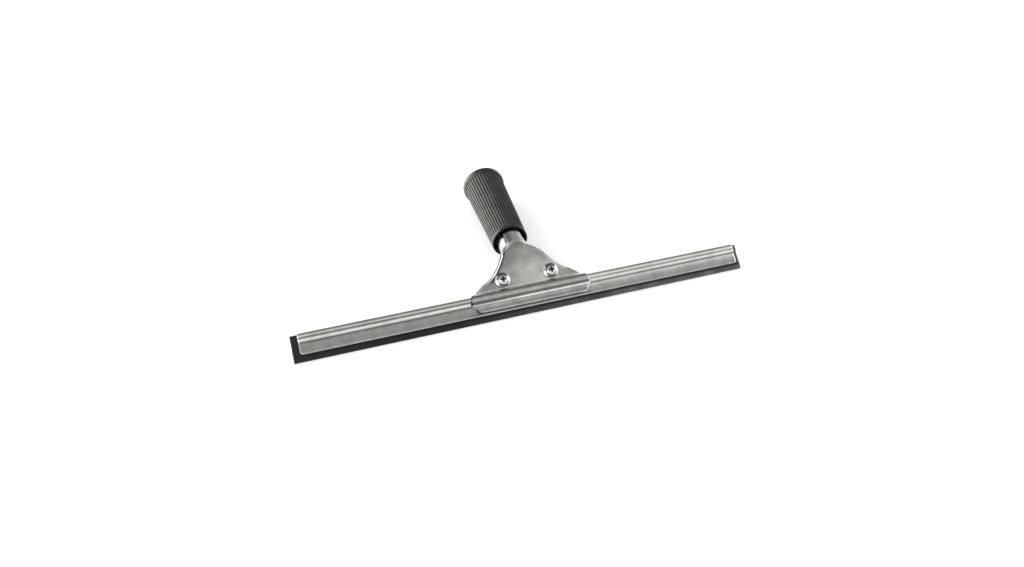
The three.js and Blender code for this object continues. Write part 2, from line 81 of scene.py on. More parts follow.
MERGE = 0.0005 * MM
SHARP = math.radians(38)

# Painted shadow under the channel's hem: shares of the rubber's height, and how much of its own colour is
# left.
painted_hem_shadow = ((0.15, 1), (0.19, 0.15), (0.23, 0.15), (0.27, 1))

rubber_low, rubber_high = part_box("rubber_blade")
wiping_edge = Vector((
    0,
    rubber_low.y + RUBBER_LIP / 2 * math.sin(BLADE_ANGLE),
    rubber_low.z + RUBBER_LIP / 2 * math.cos(BLADE_ANGLE),
))
blade_up = Vector((0, math.cos(BLADE_ANGLE), math.sin(BLADE_ANGLE)))
blade_front = Vector((0, -math.sin(BLADE_ANGLE), math.cos(BLADE_ANGLE)))


def on_blade(x, u, w):
    """Place on the blade: x along it, u up from the wiping edge, w in front of its middle plane."""
    return wiping_edge + Vector((x, 0, 0)) + blade_up * u + blade_front * w


def colour(code):
    """Linear colour of an sRGB hex value."""
    parts = [int(code[i:i + 2], 16) / 255 for i in (1, 3, 5)]
    return (*[p / 12.92 if p <= 0.04045 else ((p + 0.055) / 1.055) ** 2.4 for p in parts], 1)


def add(tree, kind, sockets, **settings):
    """A node with its settings. A socket gets a value, or a link from an output or a node's first output."""
    made = tree.nodes.new(kind)
    for name, value in settings.items():
        setattr(made, name, value)
    for name, value in sockets.items():
        if isinstance(value, bpy.types.Node):
            value = value.outputs[0]
        if isinstance(value, bpy.types.NodeSocket):
            tree.links.new(value, made.inputs[name])
        else:
            made.inputs[name].default_value = value
    return made


def finish(name):
    """An empty material's tree and the material."""
    material = bpy.data.materials.new(name)
    material.use_nodes = True
    material.node_tree.nodes.clear()
    return material.node_tree, material


def ramp(tree, value, stops):
    """A value from 0 to 1 graded through stops of a place and a colour."""
    made = add(tree, "ShaderNodeValToRGB", {"Fac": value})
    elements = made.color_ramp.elements
    while len(elements) < len(stops):
        elements.new(1)
    for element, (place, shade) in zip(elements, stops):
        element.position = place
        element.color = shade
    return made


def grey(level):
    return (level, level, level, 1)


def surface(tree, shader):
    """Joins a shader to the material's output."""
    add(tree, "ShaderNodeOutputMaterial", {"Surface": shader})


def piece(name, points, faces, material, tone_marks=None):
    """A closed mesh with its faces pointing out, smooth but for its real edges, and its points' painted light
    and shade.
    """
    mesh = bpy.data.meshes.new(name)
    mesh.from_pydata(points, [], faces)
    if tone_marks:
        mesh.attributes.new("wear_and_painted_light", "FLOAT", "POINT").data.foreach_set("value", tone_marks)
    shell = bmesh.new()
    shell.from_mesh(mesh)
    bmesh.ops.remove_doubles(shell, verts=shell.verts, dist=MERGE)
    bmesh.ops.recalc_face_normals(shell, faces=shell.faces)
    shell.to_mesh(mesh)
    shell.free()
    mesh.materials.append(material)
    mesh.shade_smooth()
    mesh.set_sharp_from_angle(angle=SHARP)
    made = bpy.data.objects.new(name, mesh)
    bpy.context.scene.collection.objects.link(made)
    return made


def bands(count, around, endless=False):
    """Faces between a count of rings with so many points around each."""
    faces = []
    for r in range(count if endless else count - 1):
        low, high = r * around, (r + 1) % count * around
        for k in range(around):
            following = (k + 1) % around
            faces.append((low + k, low + following, high + following, high + k))
    return faces


def through_rings(name, rings, material, endless=False):
    """A piece through rings of points. An endless one closes on itself, another has a face at each end."""
    count, around = len(rings), len(rings[0])
    ends = [] if endless else [range(around), range((count - 1) * around, count * around)]
    points = [point for ring in rings for point in ring]
    return piece(name, points, ends + bands(count, around, endless), material)


def filleted(corners):
    """A closed outline whose corners, each a place and a radius, are rounded."""
    corners = [(Vector(place), radius) for place, radius in corners]
    made = []
    for i, (corner, radius) in enumerate(corners):
        if not radius:
            made.append(corner)
            continue
        before = corners[i - 1][0] - corner
        after = corners[(i + 1) % len(corners)][0] - corner
        room = min(before.length, after.length) / 2
        cut = min(radius / math.tan(before.angle(after) / 2), room)
        start = corner + before.normalized() * cut
        end = corner + after.normalized() * cut
        for k in range(FILLET_STEPS + 1):
            share = k / FILLET_STEPS
            made.append(start.lerp(corner, share).lerp(corner.lerp(end, share), share))
    return made


def even_normals(made):
    """Keeps wide flats flat beside narrow roundings."""
    step = made.modifiers.new("even_normals", "WEIGHTED_NORMAL")
    step.keep_sharp = True
    return made


# Black rubber is dull and greyer where it has bloomed. It is painted lighter towards the right, where light
# falls on it, with a painted black shadow line under the channel's hem. Slitting leaves lines along it, which
# are drawn coarser than they are so that they show.
def slit_rubber():
    tree, material = finish("natural_rubber_slit")
    place = add(tree, "ShaderNodeTexCoord", {}).outputs["Object"]
    bloom = add(tree, "ShaderNodeTexNoise", {"Vector": place, "Scale": 1 / BLOOM_SIZE, "Detail": 5})
    shade = ramp(tree, bloom, ((0.3, colour("#1b1b1a")), (0.75, colour("#2d2d2b"))))
    painted_right_light = add(tree, "ShaderNodeMapRange", {
        "Value": add(tree, "ShaderNodeSeparateXYZ", {"Vector": place}).outputs["X"],
        "From Min": LIGHT_RAMP_START, "From Max": LIGHT_RAMP_END, "To Min": 0.5, "To Max": 5,
    })
    height = add(tree, "ShaderNodeVectorMath", {0: place, 1: blade_up}, operation="DOT_PRODUCT")
    foot = wiping_edge.dot(blade_up)
    level = add(tree, "ShaderNodeMapRange", {
        "Value": height.outputs["Value"], "From Min": foot, "From Max": foot + RUBBER_HEIGHT,
    })
    # A painted black shadow line runs under the channel's hem.
    hem_shadow_share = ramp(tree, level, [(share, grey(left)) for share, left in painted_hem_shadow])
    black = add(tree, "ShaderNodeVectorMath", {0: shade, "Scale": painted_right_light}, operation="SCALE")
    painted_shade = add(tree, "ShaderNodeVectorMath", {0: black, 1: hem_shadow_share}, operation="MULTIPLY")
    drawn = add(tree, "ShaderNodeMapping", {
        "Vector": place, "Scale": (1 / SLIT_LINE_LENGTH, 1 / SLIT_LINE_SPACING, 1 / SLIT_LINE_SPACING),
    })
    lines = add(tree, "ShaderNodeTexNoise", {"Vector": drawn, "Scale": 1, "Detail": 3})
    gloss = add(tree, "ShaderNodeMapRange", {"Value": lines, "To Min": 0.42, "To Max": 0.62})
    bump = add(tree, "ShaderNodeBump", {"Height": lines, "Strength": 0.6, "Distance": SLIT_LINE_DEPTH})
    surface(tree, add(tree, "ShaderNodeBsdfPrincipled", {
        "Base Color": painted_shade, "Roughness": gloss, "Normal": bump,
        "IOR": RUBBER_IOR, "Specular IOR Level": 0.22,
    }))
    return material


rubber_half = [
    ((0, RUBBER_LIP / 2), SLIT_CORNER),
    ((RUBBER_WEB_LEVEL, RUBBER_WEB / 2), WEB_ROUNDING),
    ((NECK_LEVEL - RUBBER_NECK_HEIGHT / 2, RUBBER_NECK / 2), MOULD_CORNER),
    ((NECK_LEVEL + RUBBER_NECK_HEIGHT / 2, RUBBER_NECK / 2), MOULD_CORNER),
    ((BEAD_LEVEL, RUBBER_BEAD / 2), MOULD_CORNER),
    ((RUBBER_HEIGHT, RUBBER_BEAD / 2), BEAD_CORNER),
]
rubber_outline = filleted(rubber_half + [((u, -w), radius) for (u, w), radius in reversed(rubber_half)])
rubber_steps = round((rubber_high.x - rubber_low.x) / RUBBER_STEP)
rubber_rings = []
for k in range(rubber_steps + 1):
    x = rubber_low.x + (rubber_high.x - rubber_low.x) * k / rubber_steps
    rubber_rings.append([on_blade(x, point.x, point.y) for point in rubber_outline])

wiping_rubber = even_normals(through_rings("wiping_rubber", rubber_rings, slit_rubber()))
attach(wiping_rubber, "rubber")
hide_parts("rubber_blade")


# Channel. Stainless strip, roll-formed round the rubber's bead and cut to length: two stiffening ribs
# a side, a waist that grips the rubber, and a flat skirt with a small turned-out hem.
# Its lower corners are rounded off after cutting.

CHANNEL_SHEET = 0.8 * MM
REVEAL = 5.05 * MM
SKIRT_FLARE = 0.6 * MM
HEM_HEIGHT = 0.9 * MM
HEM_FLARE = 0.25 * MM
RIB_RISE = 0.35 * MM
RIB_SPACING = 3.05 * MM
RIB_DROP = 0.65 * MM
CHANNEL_CORNER = 2.5 * MM
CHANNEL_EDGE = 0.12 * MM
CHANNEL_STEP = 0.2 * MM
CHANNEL_EASING = 8
CHANNEL_COLUMNS = 48
EDGE_STEPS = 3
CHANNEL_END = 1 * MM
# A painted shadow line on the channel under the jaw's lip: how far it reaches to each side, its level and its
# width.
LIP_SHADOW_REACH = 46 * MM
LIP_SHADOW_LEVEL = 6.7 * MM
LIP_SHADOW_WIDTH = 0.7 * MM
HEAD_CURVE_STEPS = 12
SCRATCH_SLANT = math.radians(-50)
SCRATCH_LENGTH = 7 * MM
SCRATCH_WIDTH = 0.4 * MM
GRAIN_DEPTH = 0.004 * MM
# The darkest painted shade, as on the floor of the screw's recess.
DARKEST_SHADE = -1.2
BRIGHTEST = (0.95, 0.95, 0.95)

sheet_half = CHANNEL_SHEET / 2
bead_middle = (BEAD_LEVEL + RUBBER_HEIGHT - BEAD_CORNER) / 2
groove_level = bead_middle - RIB_DROP
channel_top = RUBBER_HEIGHT + FIT + CHANNEL_SHEET
waist_middle = RUBBER_NECK / 2 + FIT + sheet_half
groove_middle = RUBBER_BEAD / 2 + FIT + sheet_half
rib_middle = groove_middle + RIB_RISE
skirt_middle = RUBBER_WEB / 2 + FIT + sheet_half + SKIRT_FLARE
lower_rib = groove_level - RIB_SPACING / 2
upper_rib = groove_level + RIB_SPACING / 2
edge_turns = [math.pi / 2 * k / EDGE_STEPS for k in range(1, EDGE_STEPS + 1)]

# Painted light and shade up the channel: a level, and how bright (1) or dark (-1) to the left and to the
# right.
channel_light_table = (
    (REVEAL, 0.6, 0.6),
    (REVEAL + HEM_HEIGHT, 0, 0),
    (REVEAL + 2 * HEM_HEIGHT, -0.3, -0.2),
    (NECK_LEVEL - 3.5 * MM, -0.2, 0.05),
    (NECK_LEVEL - 1.5 * MM, -0.15, 1),
    (NECK_LEVEL - 1 * MM, -0.4, 0.9),
    (NECK_LEVEL, -1, -0.95),
    (NECK_LEVEL + 0.5 * MM, -1, -0.95),
    (lower_rib, 0.65, 0.65),
    (lower_rib + 0.5 * MM, 0.75, 0.75),
    (groove_level + 0.2 * MM, -1, -0.6),
    (groove_level + 0.6 * MM, -0.9, -0.2),
    (upper_rib, 0.7, 1),
    (upper_rib + 0.4 * MM, 0.3, 1),
    (upper_rib + 1.2 * MM, -0.6, -0.45),
    (upper_rib + 2 * MM, 0.6, 0.4),
)


def curve_through(points, steps):
    """A smooth line through the points."""
    last = len(points) - 1
    made = []
    for i in range(last):
        start, end = points[i], points[i + 1]
        leave = (end - points[max(i - 1, 0)]) / 2
        arrive = (points[min(i + 2, last)] - start) / 2
        for k in range(steps):
            t = k / steps
            bend = (start - end) * 2 + leave + arrive
            made.append(start + leave * t + ((end - start) * 3 - leave * 2 - arrive) * t ** 2 + bend * t ** 3)
    return made + [points[last]]


def evened(line, step):
    """The same line with points an even step apart."""
    runs = [0]
    for start, end in zip(line, line[1:]):
        runs.append(runs[-1] + (end - start).length)
    count = round(runs[-1] / step)
    made = []
    for k in range(count + 1):
        run = runs[-1] * k / count
        i = min(max(bisect.bisect_left(runs, run) - 1, 0), len(line) - 2)
        made.append(line[i].lerp(line[i + 1], (run - runs[i]) / (runs[i + 1] - runs[i])))
    return made


def eased(line, passes):
    """The same line with its corners eased, its ends kept."""
    for _ in range(passes):
        inner = [(a + b * 2 + c) / 4 for a, b, c in zip(line, line[1:], line[2:])]
        line = [line[0], *inner, line[-1]]
    return line


def stations_along(line, half, rounding):
    """Stations of a sheet's middle line: place, normal and half thickness, less round both ends."""
    def rounded(end, inner, turns):
        way = (inner - end).normalized() * rounding
        return [(end + way * (1 - math.sin(turn)), half - rounding * (1 - math.cos(turn))) for turn in turns]

    spots = rounded(line[0], line[1], reversed(edge_turns))
    for spot in line[1:-1]:
        if min((spot - line[0]).length, (spot - line[-1]).length) > rounding:
            spots.append((spot, half))
    spots += rounded(line[-1], line[-2], edge_turns)
    made = []
    for i, (spot, thick) in enumerate(spots):
        run = spots[min(i + 1, len(spots) - 1)][0] - spots[max(i - 1, 0)][0]
        made.append((spot, Vector((-run.y, run.x)).normalized(), thick))
    return made


def sheet_piece(name, stations, columns_at, spot_at, painted_light_at, rounding, material):
    """A closed sheet with rounded edges. At each station columns run across it. From a station, a column and
    an offset from the middle surface, spot_at gives a point's place and the other function its painted light
    and shade."""
    points = []
    tone_marks = []
    for station in stations:
        columns = columns_at(station[0])
        half = station[2]
        section = [(column, half) for column in columns]
        sides = [(rounding * math.sin(turn), half - rounding * (1 - math.cos(turn))) for turn in edge_turns]
        sides += [(reach, -offset) for reach, offset in reversed(sides)]
        section += [(columns[-1] + reach, offset) for reach, offset in sides]
        section += [(column, -half) for column in reversed(columns)]
        section += [(columns[0] - reach, -offset) for reach, offset in sides]
        points += [spot_at(station, column, offset) for column, offset in section]
        tone_marks += [painted_light_at(station, column, offset) for column, offset in section]
    count = len(columns)
    around = len(section)
    edge = len(sides)
    faces = bands(len(stations), around)
    for low in (0, (len(stations) - 1) * around):
        for k in range(count - 1):
            back = low + count + edge + count - 1 - k
            faces.append((low + k, low + k + 1, back - 1, back))
        faces.append(range(low + count - 1, low + count + edge + 1))
        faces.append([*range(low + around - edge - 1, low + around), low])
    return piece(name, points, faces, material, tone_marks)


def graded(stops, level, share):
    """Painted light and shade at a level, by straight lines between the stops, a share of the way from left
    to right.
    """
    levels = [stop[0] for stop in stops]
    i = min(max(bisect.bisect_left(levels, level), 1), len(stops) - 1)
    (low, *below), (high, *above) = stops[i - 1], stops[i]
    rise = min(max((level - low) / (high - low), 0), 1)
    left, right = [a + (b - a) * rise for a, b in zip(below, above)]
    return left + (right - left) * share


# Stainless sheet is a mid-grey metal. Rolling leaves lines along it, which are drawn coarser than they are so
# that they show, and handling leaves soft clouds, slanting scratches and a slight unevenness, so that its
# reflections waver. Each point's painted light brightens crests and edges as highlights and darkens creases
# as shade.
def stainless(name, shades, gloss, grain, cloud, waviness):
    tree, material = finish(name)
    place = add(tree, "ShaderNodeTexCoord", {}).outputs["Object"]
    clouds = add(tree, "ShaderNodeTexNoise", {
        "Vector": place, "Scale": 1 / cloud, "Detail": 6, "Roughness": 0.6,
    })
    tone = ramp(tree, clouds, ((0.35, colour(shades[0])), (0.65, colour(shades[1]))))
    # Each point's painted light brightens it where highlights fall and darkens it where shade falls.
    bright = add(tree, "ShaderNodeMapRange", {
        "Value": add(tree, "ShaderNodeAttribute", {}, attribute_name="wear_and_painted_light").outputs["Fac"],
        "From Min": DARKEST_SHADE, "From Max": 1, "To Min": 0.04, "To Max": 1.8,
    })
    slanted = add(tree, "ShaderNodeMapping", {
        "Vector": place, "Rotation": (0, 0, SCRATCH_SLANT),
        "Scale": (SCRATCH_LENGTH, SCRATCH_WIDTH, SCRATCH_LENGTH),
    }, vector_type="TEXTURE")
    rubs = add(tree, "ShaderNodeTexNoise", {"Vector": slanted, "Scale": 1, "Detail": 2})
    scratch = add(tree, "ShaderNodeMapRange", {
        "Value": rubs, "From Min": 0.6, "From Max": 0.76, "To Min": 0.98, "To Max": 1.3,
    })
    for share in (bright, scratch):
        tone = add(tree, "ShaderNodeVectorMath", {0: tone, "Scale": share}, operation="SCALE")
    whole = add(tree, "ShaderNodeVectorMath", {0: tone, 1: BRIGHTEST}, operation="MINIMUM")
    along, across = grain
    rolled = add(tree, "ShaderNodeMapping", {"Vector": place, "Scale": (1 / along, 1 / across, 1 / across)})
    lines = add(tree, "ShaderNodeTexNoise", {"Vector": rolled, "Scale": 1, "Detail": 4})
    mixed = add(tree, "ShaderNodeMath", {0: clouds, 1: lines}, operation="ADD")
    rough = add(tree, "ShaderNodeMapRange", {
        "Value": mixed, "From Min": 0.7, "From Max": 1.3, "To Min": gloss[0], "To Max": gloss[1],
    })
    fine = add(tree, "ShaderNodeBump", {"Height": lines, "Strength": 0.5, "Distance": GRAIN_DEPTH})
    wave = add(tree, "ShaderNodeTexNoise", {"Vector": place, "Scale": 1 / (2 * cloud), "Detail": 1})
    uneven = add(tree, "ShaderNodeBump", {
        "Height": wave, "Strength": 1, "Distance": waviness, "Normal": fine,
    })
    surface(tree, add(tree, "ShaderNodeBsdfPrincipled", {
        "Base Color": whole, "Metallic": 1, "Roughness": rough, "Normal": uneven,
    }))
    return material


def mirrored(half):
    """The other half of an outline, on from its top."""
    return [Vector((point.x, -point.y)) for point in reversed(half)]


channel_low, channel_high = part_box("channel")
channel_half = (channel_high.x - channel_low.x) / 2
head_half = [
    Vector((NECK_LEVEL, waist_middle)),
    Vector((lower_rib, rib_middle)),
    Vector((groove_level, groove_middle)),
    Vector((upper_rib, rib_middle)),
    Vector((channel_top - sheet_half * 1.5, groove_middle - BEAD_CORNER)),
    Vector((channel_top - sheet_half, sheet_half)),
]
skirt_half = [Vector((REVEAL, skirt_middle + HEM_FLARE)), Vector((REVEAL + HEM_HEIGHT, skirt_middle))]
head = curve_through(head_half + mirrored(head_half), HEAD_CURVE_STEPS)
channel_line = eased(evened(skirt_half + head + mirrored(skirt_half), CHANNEL_STEP), CHANNEL_EASING)


def channel_columns(spot):
    """Columns along the channel, shorter where the lower corners are rounded."""
    into = min(max(CHANNEL_CORNER - (spot.x - REVEAL), 0), CHANNEL_CORNER)
    lost = CHANNEL_CORNER - math.sqrt(CHANNEL_CORNER ** 2 - into ** 2)
    end = channel_half - lost - CHANNEL_EDGE
    inner = end - CHANNEL_END
    return [-end, *[inner * (2 * k / CHANNEL_COLUMNS - 1) for k in range(CHANNEL_COLUMNS + 1)], end]


def channel_spot(station, x, offset):
    spot = station[0] + station[1] * offset
    return on_blade(x, spot.x, spot.y)


def channel_painted_light(station, x, offset):
    """Painted highlights on the ribs, most to the right, and at the ends; painted shade in the waist and
    under the jaw's lip.
    """
    if offset <= 0:
        return 0
    level = station[0].x
    share = min(max(x / (2 * LIP_SHADOW_REACH) + 0.5, 0), 1)
    # Painted shadow under the jaw's lip.
    lip_shadow = max(1 - abs(level - LIP_SHADOW_LEVEL) / LIP_SHADOW_WIDTH, 0) if abs(x) < LIP_SHADOW_REACH else 0
    end = max(abs(x) - channel_half + CHANNEL_END, 0) / CHANNEL_END if level < channel_top else 0
    return graded(channel_light_table, level, share) - lip_shadow + end


rolled_steel = stainless(
    "stainless_strip_rolled", ("#bcbcb8", "#d0d0cc"), (0.1, 0.24), (25 * MM, 0.3 * MM), 9 * MM, 0.05 * MM)
channel_rail = even_normals(sheet_piece(
    "channel_rail", stations_along(channel_line, sheet_half, CHANNEL_EDGE), channel_columns, channel_spot,
    channel_painted_light, CHANNEL_EDGE, rolled_steel))
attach(channel_rail, "channel")
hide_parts("channel")


# Back plate. The lower half of the handle, pressed from stainless sheet: a jaw that cups the channel,
# a flat neck, and flanks that curl down and close into the socket tube, butted along a seam beneath.

PLATE_SHEET = 1.2 * MM
PLATE_EDGE = 0.35 * MM
BEND_RADIUS = 40 * MM
JAW_LENGTH = 96 * MM
JAW_TOP_LENGTH = 87 * MM
JAW_LIP_LENGTH = 90 * MM
JAW_LIP_CORNER = 3.5 * MM
JAW_LIP_DROP = 6.1 * MM
JAW_LIP_FLARE = 0.55 * MM
JAW_LIP_ROLL = math.radians(115)
JAW_CROWN = 0.25 * MM
JAW_SHOULDER = 0.1 * MM
SHOULDER_LENGTH = 71.2 * MM
SHOULDER_RISE = 6.25 * MM
FLARE_RUN = 9.1 * MM
FLARE_RISE = 3 * MM
NECK_WIDTH = 22.4 * MM
NECK_RUN = 7.4 * MM
NECK_RISE = 16.5 * MM
PANEL_RAISE = 0.5 * MM
PANEL_RIM = 1.6 * MM
TONGUE_WIDTH = 13.8 * MM
TONGUE_REACH = 14 * MM
TUBE_DIAMETER = 22 * MM
TUBE_SEAM = 0.6 * MM
TUBE_RECESS = 3 * MM
CURL_BEFORE_BEND_END = 5 * MM
CURL_AFTER_BEND_END = 9 * MM
JAW_RUN_OUT = 4 * MM
JAW_STEPS = 24
JAW_STEP = 0.2 * MM
JAW_EASING = 16
NECK_STEP = 0.6 * MM
TUBE_STEP = 5 * MM
OUTLINE_STEPS = 40
OUTLINE_STEP = 0.3 * MM
OUTLINE_EASING = 6
TUBE_COLUMNS = 120
# Painted shade beside the tongue and along the edges: how wide to the left, to the right and from an edge,
# and how dark on the back plate.
LEFT_SHADE_WIDTH = 3.5 * MM
RIGHT_SHADE_WIDTH = 1.6 * MM
EDGE_SHADE_WIDTH = 1 * MM
BACK_TONGUE_SHADE = 1.8
SCREW_RADIUS = 2.5 * MM
HOLE_SIDES = 48
DRILL_REACH = 10 * MM

joints = {joint["name"]: joint for joint in frame["joints"]}
grip_low, grip_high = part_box("grip")
tube_axis = (grip_low.z + grip_high.z) / 2
panel_start = channel_top + FIT + PLATE_SHEET / 2 + JAW_SHOULDER
jaw_low = NECK_LEVEL - JAW_LIP_DROP
jaw_standoff = sheet_half + FIT + PLATE_SHEET / 2
plate_lift = (FIT + PLATE_SHEET) / 2
panel_lift = plate_lift + PANEL_RAISE
curl_radius = (TUBE_DIAMETER + FIT) / 2
crown_rise = tube_axis + curl_radius - wiping_edge.z
bend_tangent = BEND_RADIUS * math.tan(BLADE_ANGLE / 2)
bend_start = crown_rise / math.sin(BLADE_ANGLE) - bend_tangent
bend_end = bend_start + BEND_RADIUS * BLADE_ANGLE
neck_start = bend_end - PANEL_RIM * 2
grip_setback = grip_low.y - wiping_edge.y - crown_rise / math.tan(BLADE_ANGLE) - bend_tangent
tongue_end = bend_end + grip_setback + TONGUE_REACH
tube_end = bend_end + grip_setback + grip_high.y - grip_low.y - TUBE_RECESS


def smooth(low, high, value):
    """0 up to low, 1 from high, and an S between."""
    share = min(max((value - low) / (high - low), 0), 1)
    return share * share * (3 - 2 * share)


def mix(start, end, share):
    return start + (end - start) * share


def bezier(*points):
    """A curve from the first point to the last, drawn towards those between."""
    made = []
    for k in range(OUTLINE_STEPS + 1):
        row = [Vector(point) for point in points]
        while len(row) > 1:
            row = [a.lerp(b, k / OUTLINE_STEPS) for a, b in zip(row, row[1:])]
        made.append(row[0])
    return made


lip_half = JAW_LIP_LENGTH / 2
shoulder = Vector((SHOULDER_LENGTH / 2, panel_start + SHOULDER_RISE))
neck = Vector((NECK_WIDTH / 2, neck_start))
plate_outline = [
    *bezier((lip_half - JAW_LIP_CORNER, jaw_low), (lip_half, jaw_low), (lip_half, jaw_low + JAW_LIP_CORNER)),
    *bezier((JAW_LENGTH / 2, NECK_LEVEL), (JAW_LENGTH / 2, panel_start), (JAW_TOP_LENGTH / 2, panel_start)),
    *bezier(
        shoulder, shoulder + Vector((-FLARE_RUN, FLARE_RISE)), neck + Vector((NECK_RUN, -NECK_RISE)), neck),
    Vector((NECK_WIDTH / 2, bend_end - PANEL_RIM)),
    Vector((TONGUE_WIDTH / 2, bend_end + PANEL_RIM)),
    Vector((TONGUE_WIDTH / 2, tongue_end)),
]
plate_outline = eased(evened(plate_outline, OUTLINE_STEP), OUTLINE_EASING)
outline_levels = [point.y for point in plate_outline]


def half_width(s):
    """Half the plates' width at a level."""
    i = min(max(bisect.bisect_left(outline_levels, s), 1), len(plate_outline) - 1)
    below, above = plate_outline[i - 1], plate_outline[i]
    share = (s - below.y) / max(above.y - below.y, MERGE)
    return mix(below.x, above.x, min(max(share, 0), 1))


def inset(s, across):
    """How far inside the plates' outline a place lies, square to the outline."""
    lean = (half_width(s + OUTLINE_STEP) - half_width(s - OUTLINE_STEP)) / (2 * OUTLINE_STEP)
    return (half_width(s) - abs(across)) / math.hypot(1, lean)


bend_half = half_width(bend_start)


def on_plate(s, across, lift):
    """Place on the plates: s up their parting line, across sideways on the surface, lift in front.
    Past a narrowing flat the surface curls down round the tube's axis."""
    slope = BLADE_ANGLE - min(max((s - bend_start) / BEND_RADIUS, 0), BLADE_ANGLE)
    rising = min(s, bend_start)
    level = max(s - bend_end, 0)
    crown = wiping_edge + Vector((
        0,
        rising * math.cos(BLADE_ANGLE) + BEND_RADIUS * (math.sin(BLADE_ANGLE) - math.sin(slope)) + level,
        rising * math.sin(BLADE_ANGLE) + BEND_RADIUS * (math.cos(slope) - math.cos(BLADE_ANGLE)),
    ))
    reach = abs(across)
    flat = reach if s < bend_start else min(reach, bend_half * (1 - smooth(bend_start, bend_end, s)))
    turn = (reach - flat) / curl_radius
    radius = curl_radius + lift
    up = radius * math.cos(turn) - curl_radius
    x = math.copysign(flat + radius * math.sin(turn), across)
    return crown + Vector((x, -up * math.sin(slope), up * math.cos(slope)))


def jaw_line(neck_lift):
    """Middle line of a jaw as level and lift: the rounded lip, the crease in the channel's waist, and the
    bead over its ribs, down to the neck."""
    crease = waist_middle + jaw_standoff
    crown = rib_middle + jaw_standoff + JAW_CROWN
    lip_share = (NECK_LEVEL - jaw_low) / (NECK_LEVEL - REVEAL - HEM_HEIGHT)
    lip = mix(waist_middle, skirt_middle, lip_share) + jaw_standoff + JAW_LIP_FLARE
    made = []
    for k in range(JAW_STEPS):
        drop = 1 - k / JAW_STEPS
        roll = math.sin(drop * JAW_LIP_ROLL)
        made.append(Vector((NECK_LEVEL - JAW_LIP_DROP * drop, mix(crease, lip, roll))))
    for k in range(2 * JAW_STEPS + 1):
        angle = math.pi * (1 - k / (2 * JAW_STEPS))
        rising = k < JAW_STEPS
        foot = crease if rising else neck_lift
        reach = bead_middle - NECK_LEVEL if rising else panel_start - bead_middle
        made.append(Vector((bead_middle + reach * math.cos(angle), mix(foot, crown, math.sin(angle)))))
    made.append(Vector((panel_start + JAW_RUN_OUT, neck_lift)))
    return eased(evened(made, JAW_STEP), JAW_EASING)


def carried_on(line, level, step):
    """The line carried straight on to a level."""
    return line + evened([line[-1], Vector((level, line[-1].y))], step)[1:]


def settled(made):
    """The piece as a plain mesh, with its modifiers worked in."""
    depsgraph = bpy.context.evaluated_depsgraph_get()
    mesh = bpy.data.meshes.new_from_object(made.evaluated_get(depsgraph), depsgraph=depsgraph)
    made.modifiers.clear()
    made.data = mesh
    return made


def carved(blank, cutters):
    """The piece with the cutters taken out of it."""
    for cutter in cutters:
        step = blank.modifiers.new("cut", "BOOLEAN")
        step.object = cutter
    settled(blank)
    for cutter in cutters:
        bpy.data.objects.remove(cutter)
    blank.data.set_sharp_from_angle(angle=SHARP)
    return blank


def turns_round(count):
    """Even angles once round."""
    return [2 * math.pi * k / count for k in range(count)]


def turned(name, profile, sides, material, endless=True):
    """A piece turned round Z from a profile of radii and heights."""
    rings = []
    for radius, height in profile:
        ring = [(radius * math.cos(turn), radius * math.sin(turn), height) for turn in turns_round(sides)]
        rings.append(ring)
    return through_rings(name, rings, material, endless)


def screw_holes(radius, material):
    """Drills for the two screw holes, square to the plates."""
    made = []
    for side in ("left", "right"):
        joint = joints[f"{side}_screw_turn"]
        profile = [(radius, -DRILL_REACH), (radius, DRILL_REACH)]
        drill = turned(f"{side}_drill", profile, HOLE_SIDES, material, endless=False)
        turn = Vector(joint["axis"]).to_track_quat("Z", "Y").to_matrix().to_4x4()
        drill.data.transform(Matrix.Translation(joint["pos_m"]) @ turn)
        made.append(drill)
    return made


pressed_steel = stainless(
    "stainless_sheet_pressed", ("#b0b0ac", "#c6c6c2"), (0.14, 0.32), (1 * MM, 0.6 * MM), 7 * MM, 0.06 * MM)
curl_start = bend_end - CURL_BEFORE_BEND_END
curl_end = bend_end + CURL_AFTER_BEND_END
back_line = carried_on(carried_on(jaw_line(plate_lift), curl_end, NECK_STEP), tube_end, TUBE_STEP)


def back_columns(spot):
    """Columns across the back plate, which widens where it wraps round into the tube."""
    wrap = math.pi * curl_radius - TUBE_SEAM / 2
    half = mix(half_width(spot.x), wrap, smooth(curl_start, curl_end, spot.x)) - PLATE_EDGE
    return [half * (2 * k / TUBE_COLUMNS - 1) for k in range(TUBE_COLUMNS + 1)]


def back_spot(station, across, offset):
    spot = station[0] + station[1] * offset
    return on_plate(spot.x, across, -spot.y)


def back_painted_light(station, across, offset):
    """The tube is painted bright as a reflection. Painted shade lies beside the front plate's tongue and
    along the flat's edges.
    """
    level = station[0].x
    edge = smooth(EDGE_SHADE_WIDTH, 0, inset(level, across)) * smooth(bend_end - PANEL_RIM, curl_start, level)
    if offset > 0:
        return -edge
    width = LEFT_SHADE_WIDTH if across < 0 else RIGHT_SHADE_WIDTH
    tongue_gap_shade = smooth(width, width / 3, abs(across) - TONGUE_WIDTH / 2)
    tongue_gap_shade *= smooth(bend_end - PANEL_RIM, bend_end + PANEL_RIM, level)
    return smooth(curl_start, curl_end, level) - BACK_TONGUE_SHADE * tongue_gap_shade - edge


back_pressing = sheet_piece(
    "back_pressing", stations_along(back_line, PLATE_SHEET / 2, PLATE_EDGE), back_columns, back_spot,
    back_painted_light, PLATE_EDGE, pressed_steel)
carved(back_pressing, screw_holes(SCREW_RADIUS + FIT, pressed_steel))
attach(back_pressing, "handle")
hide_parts("back_plate")


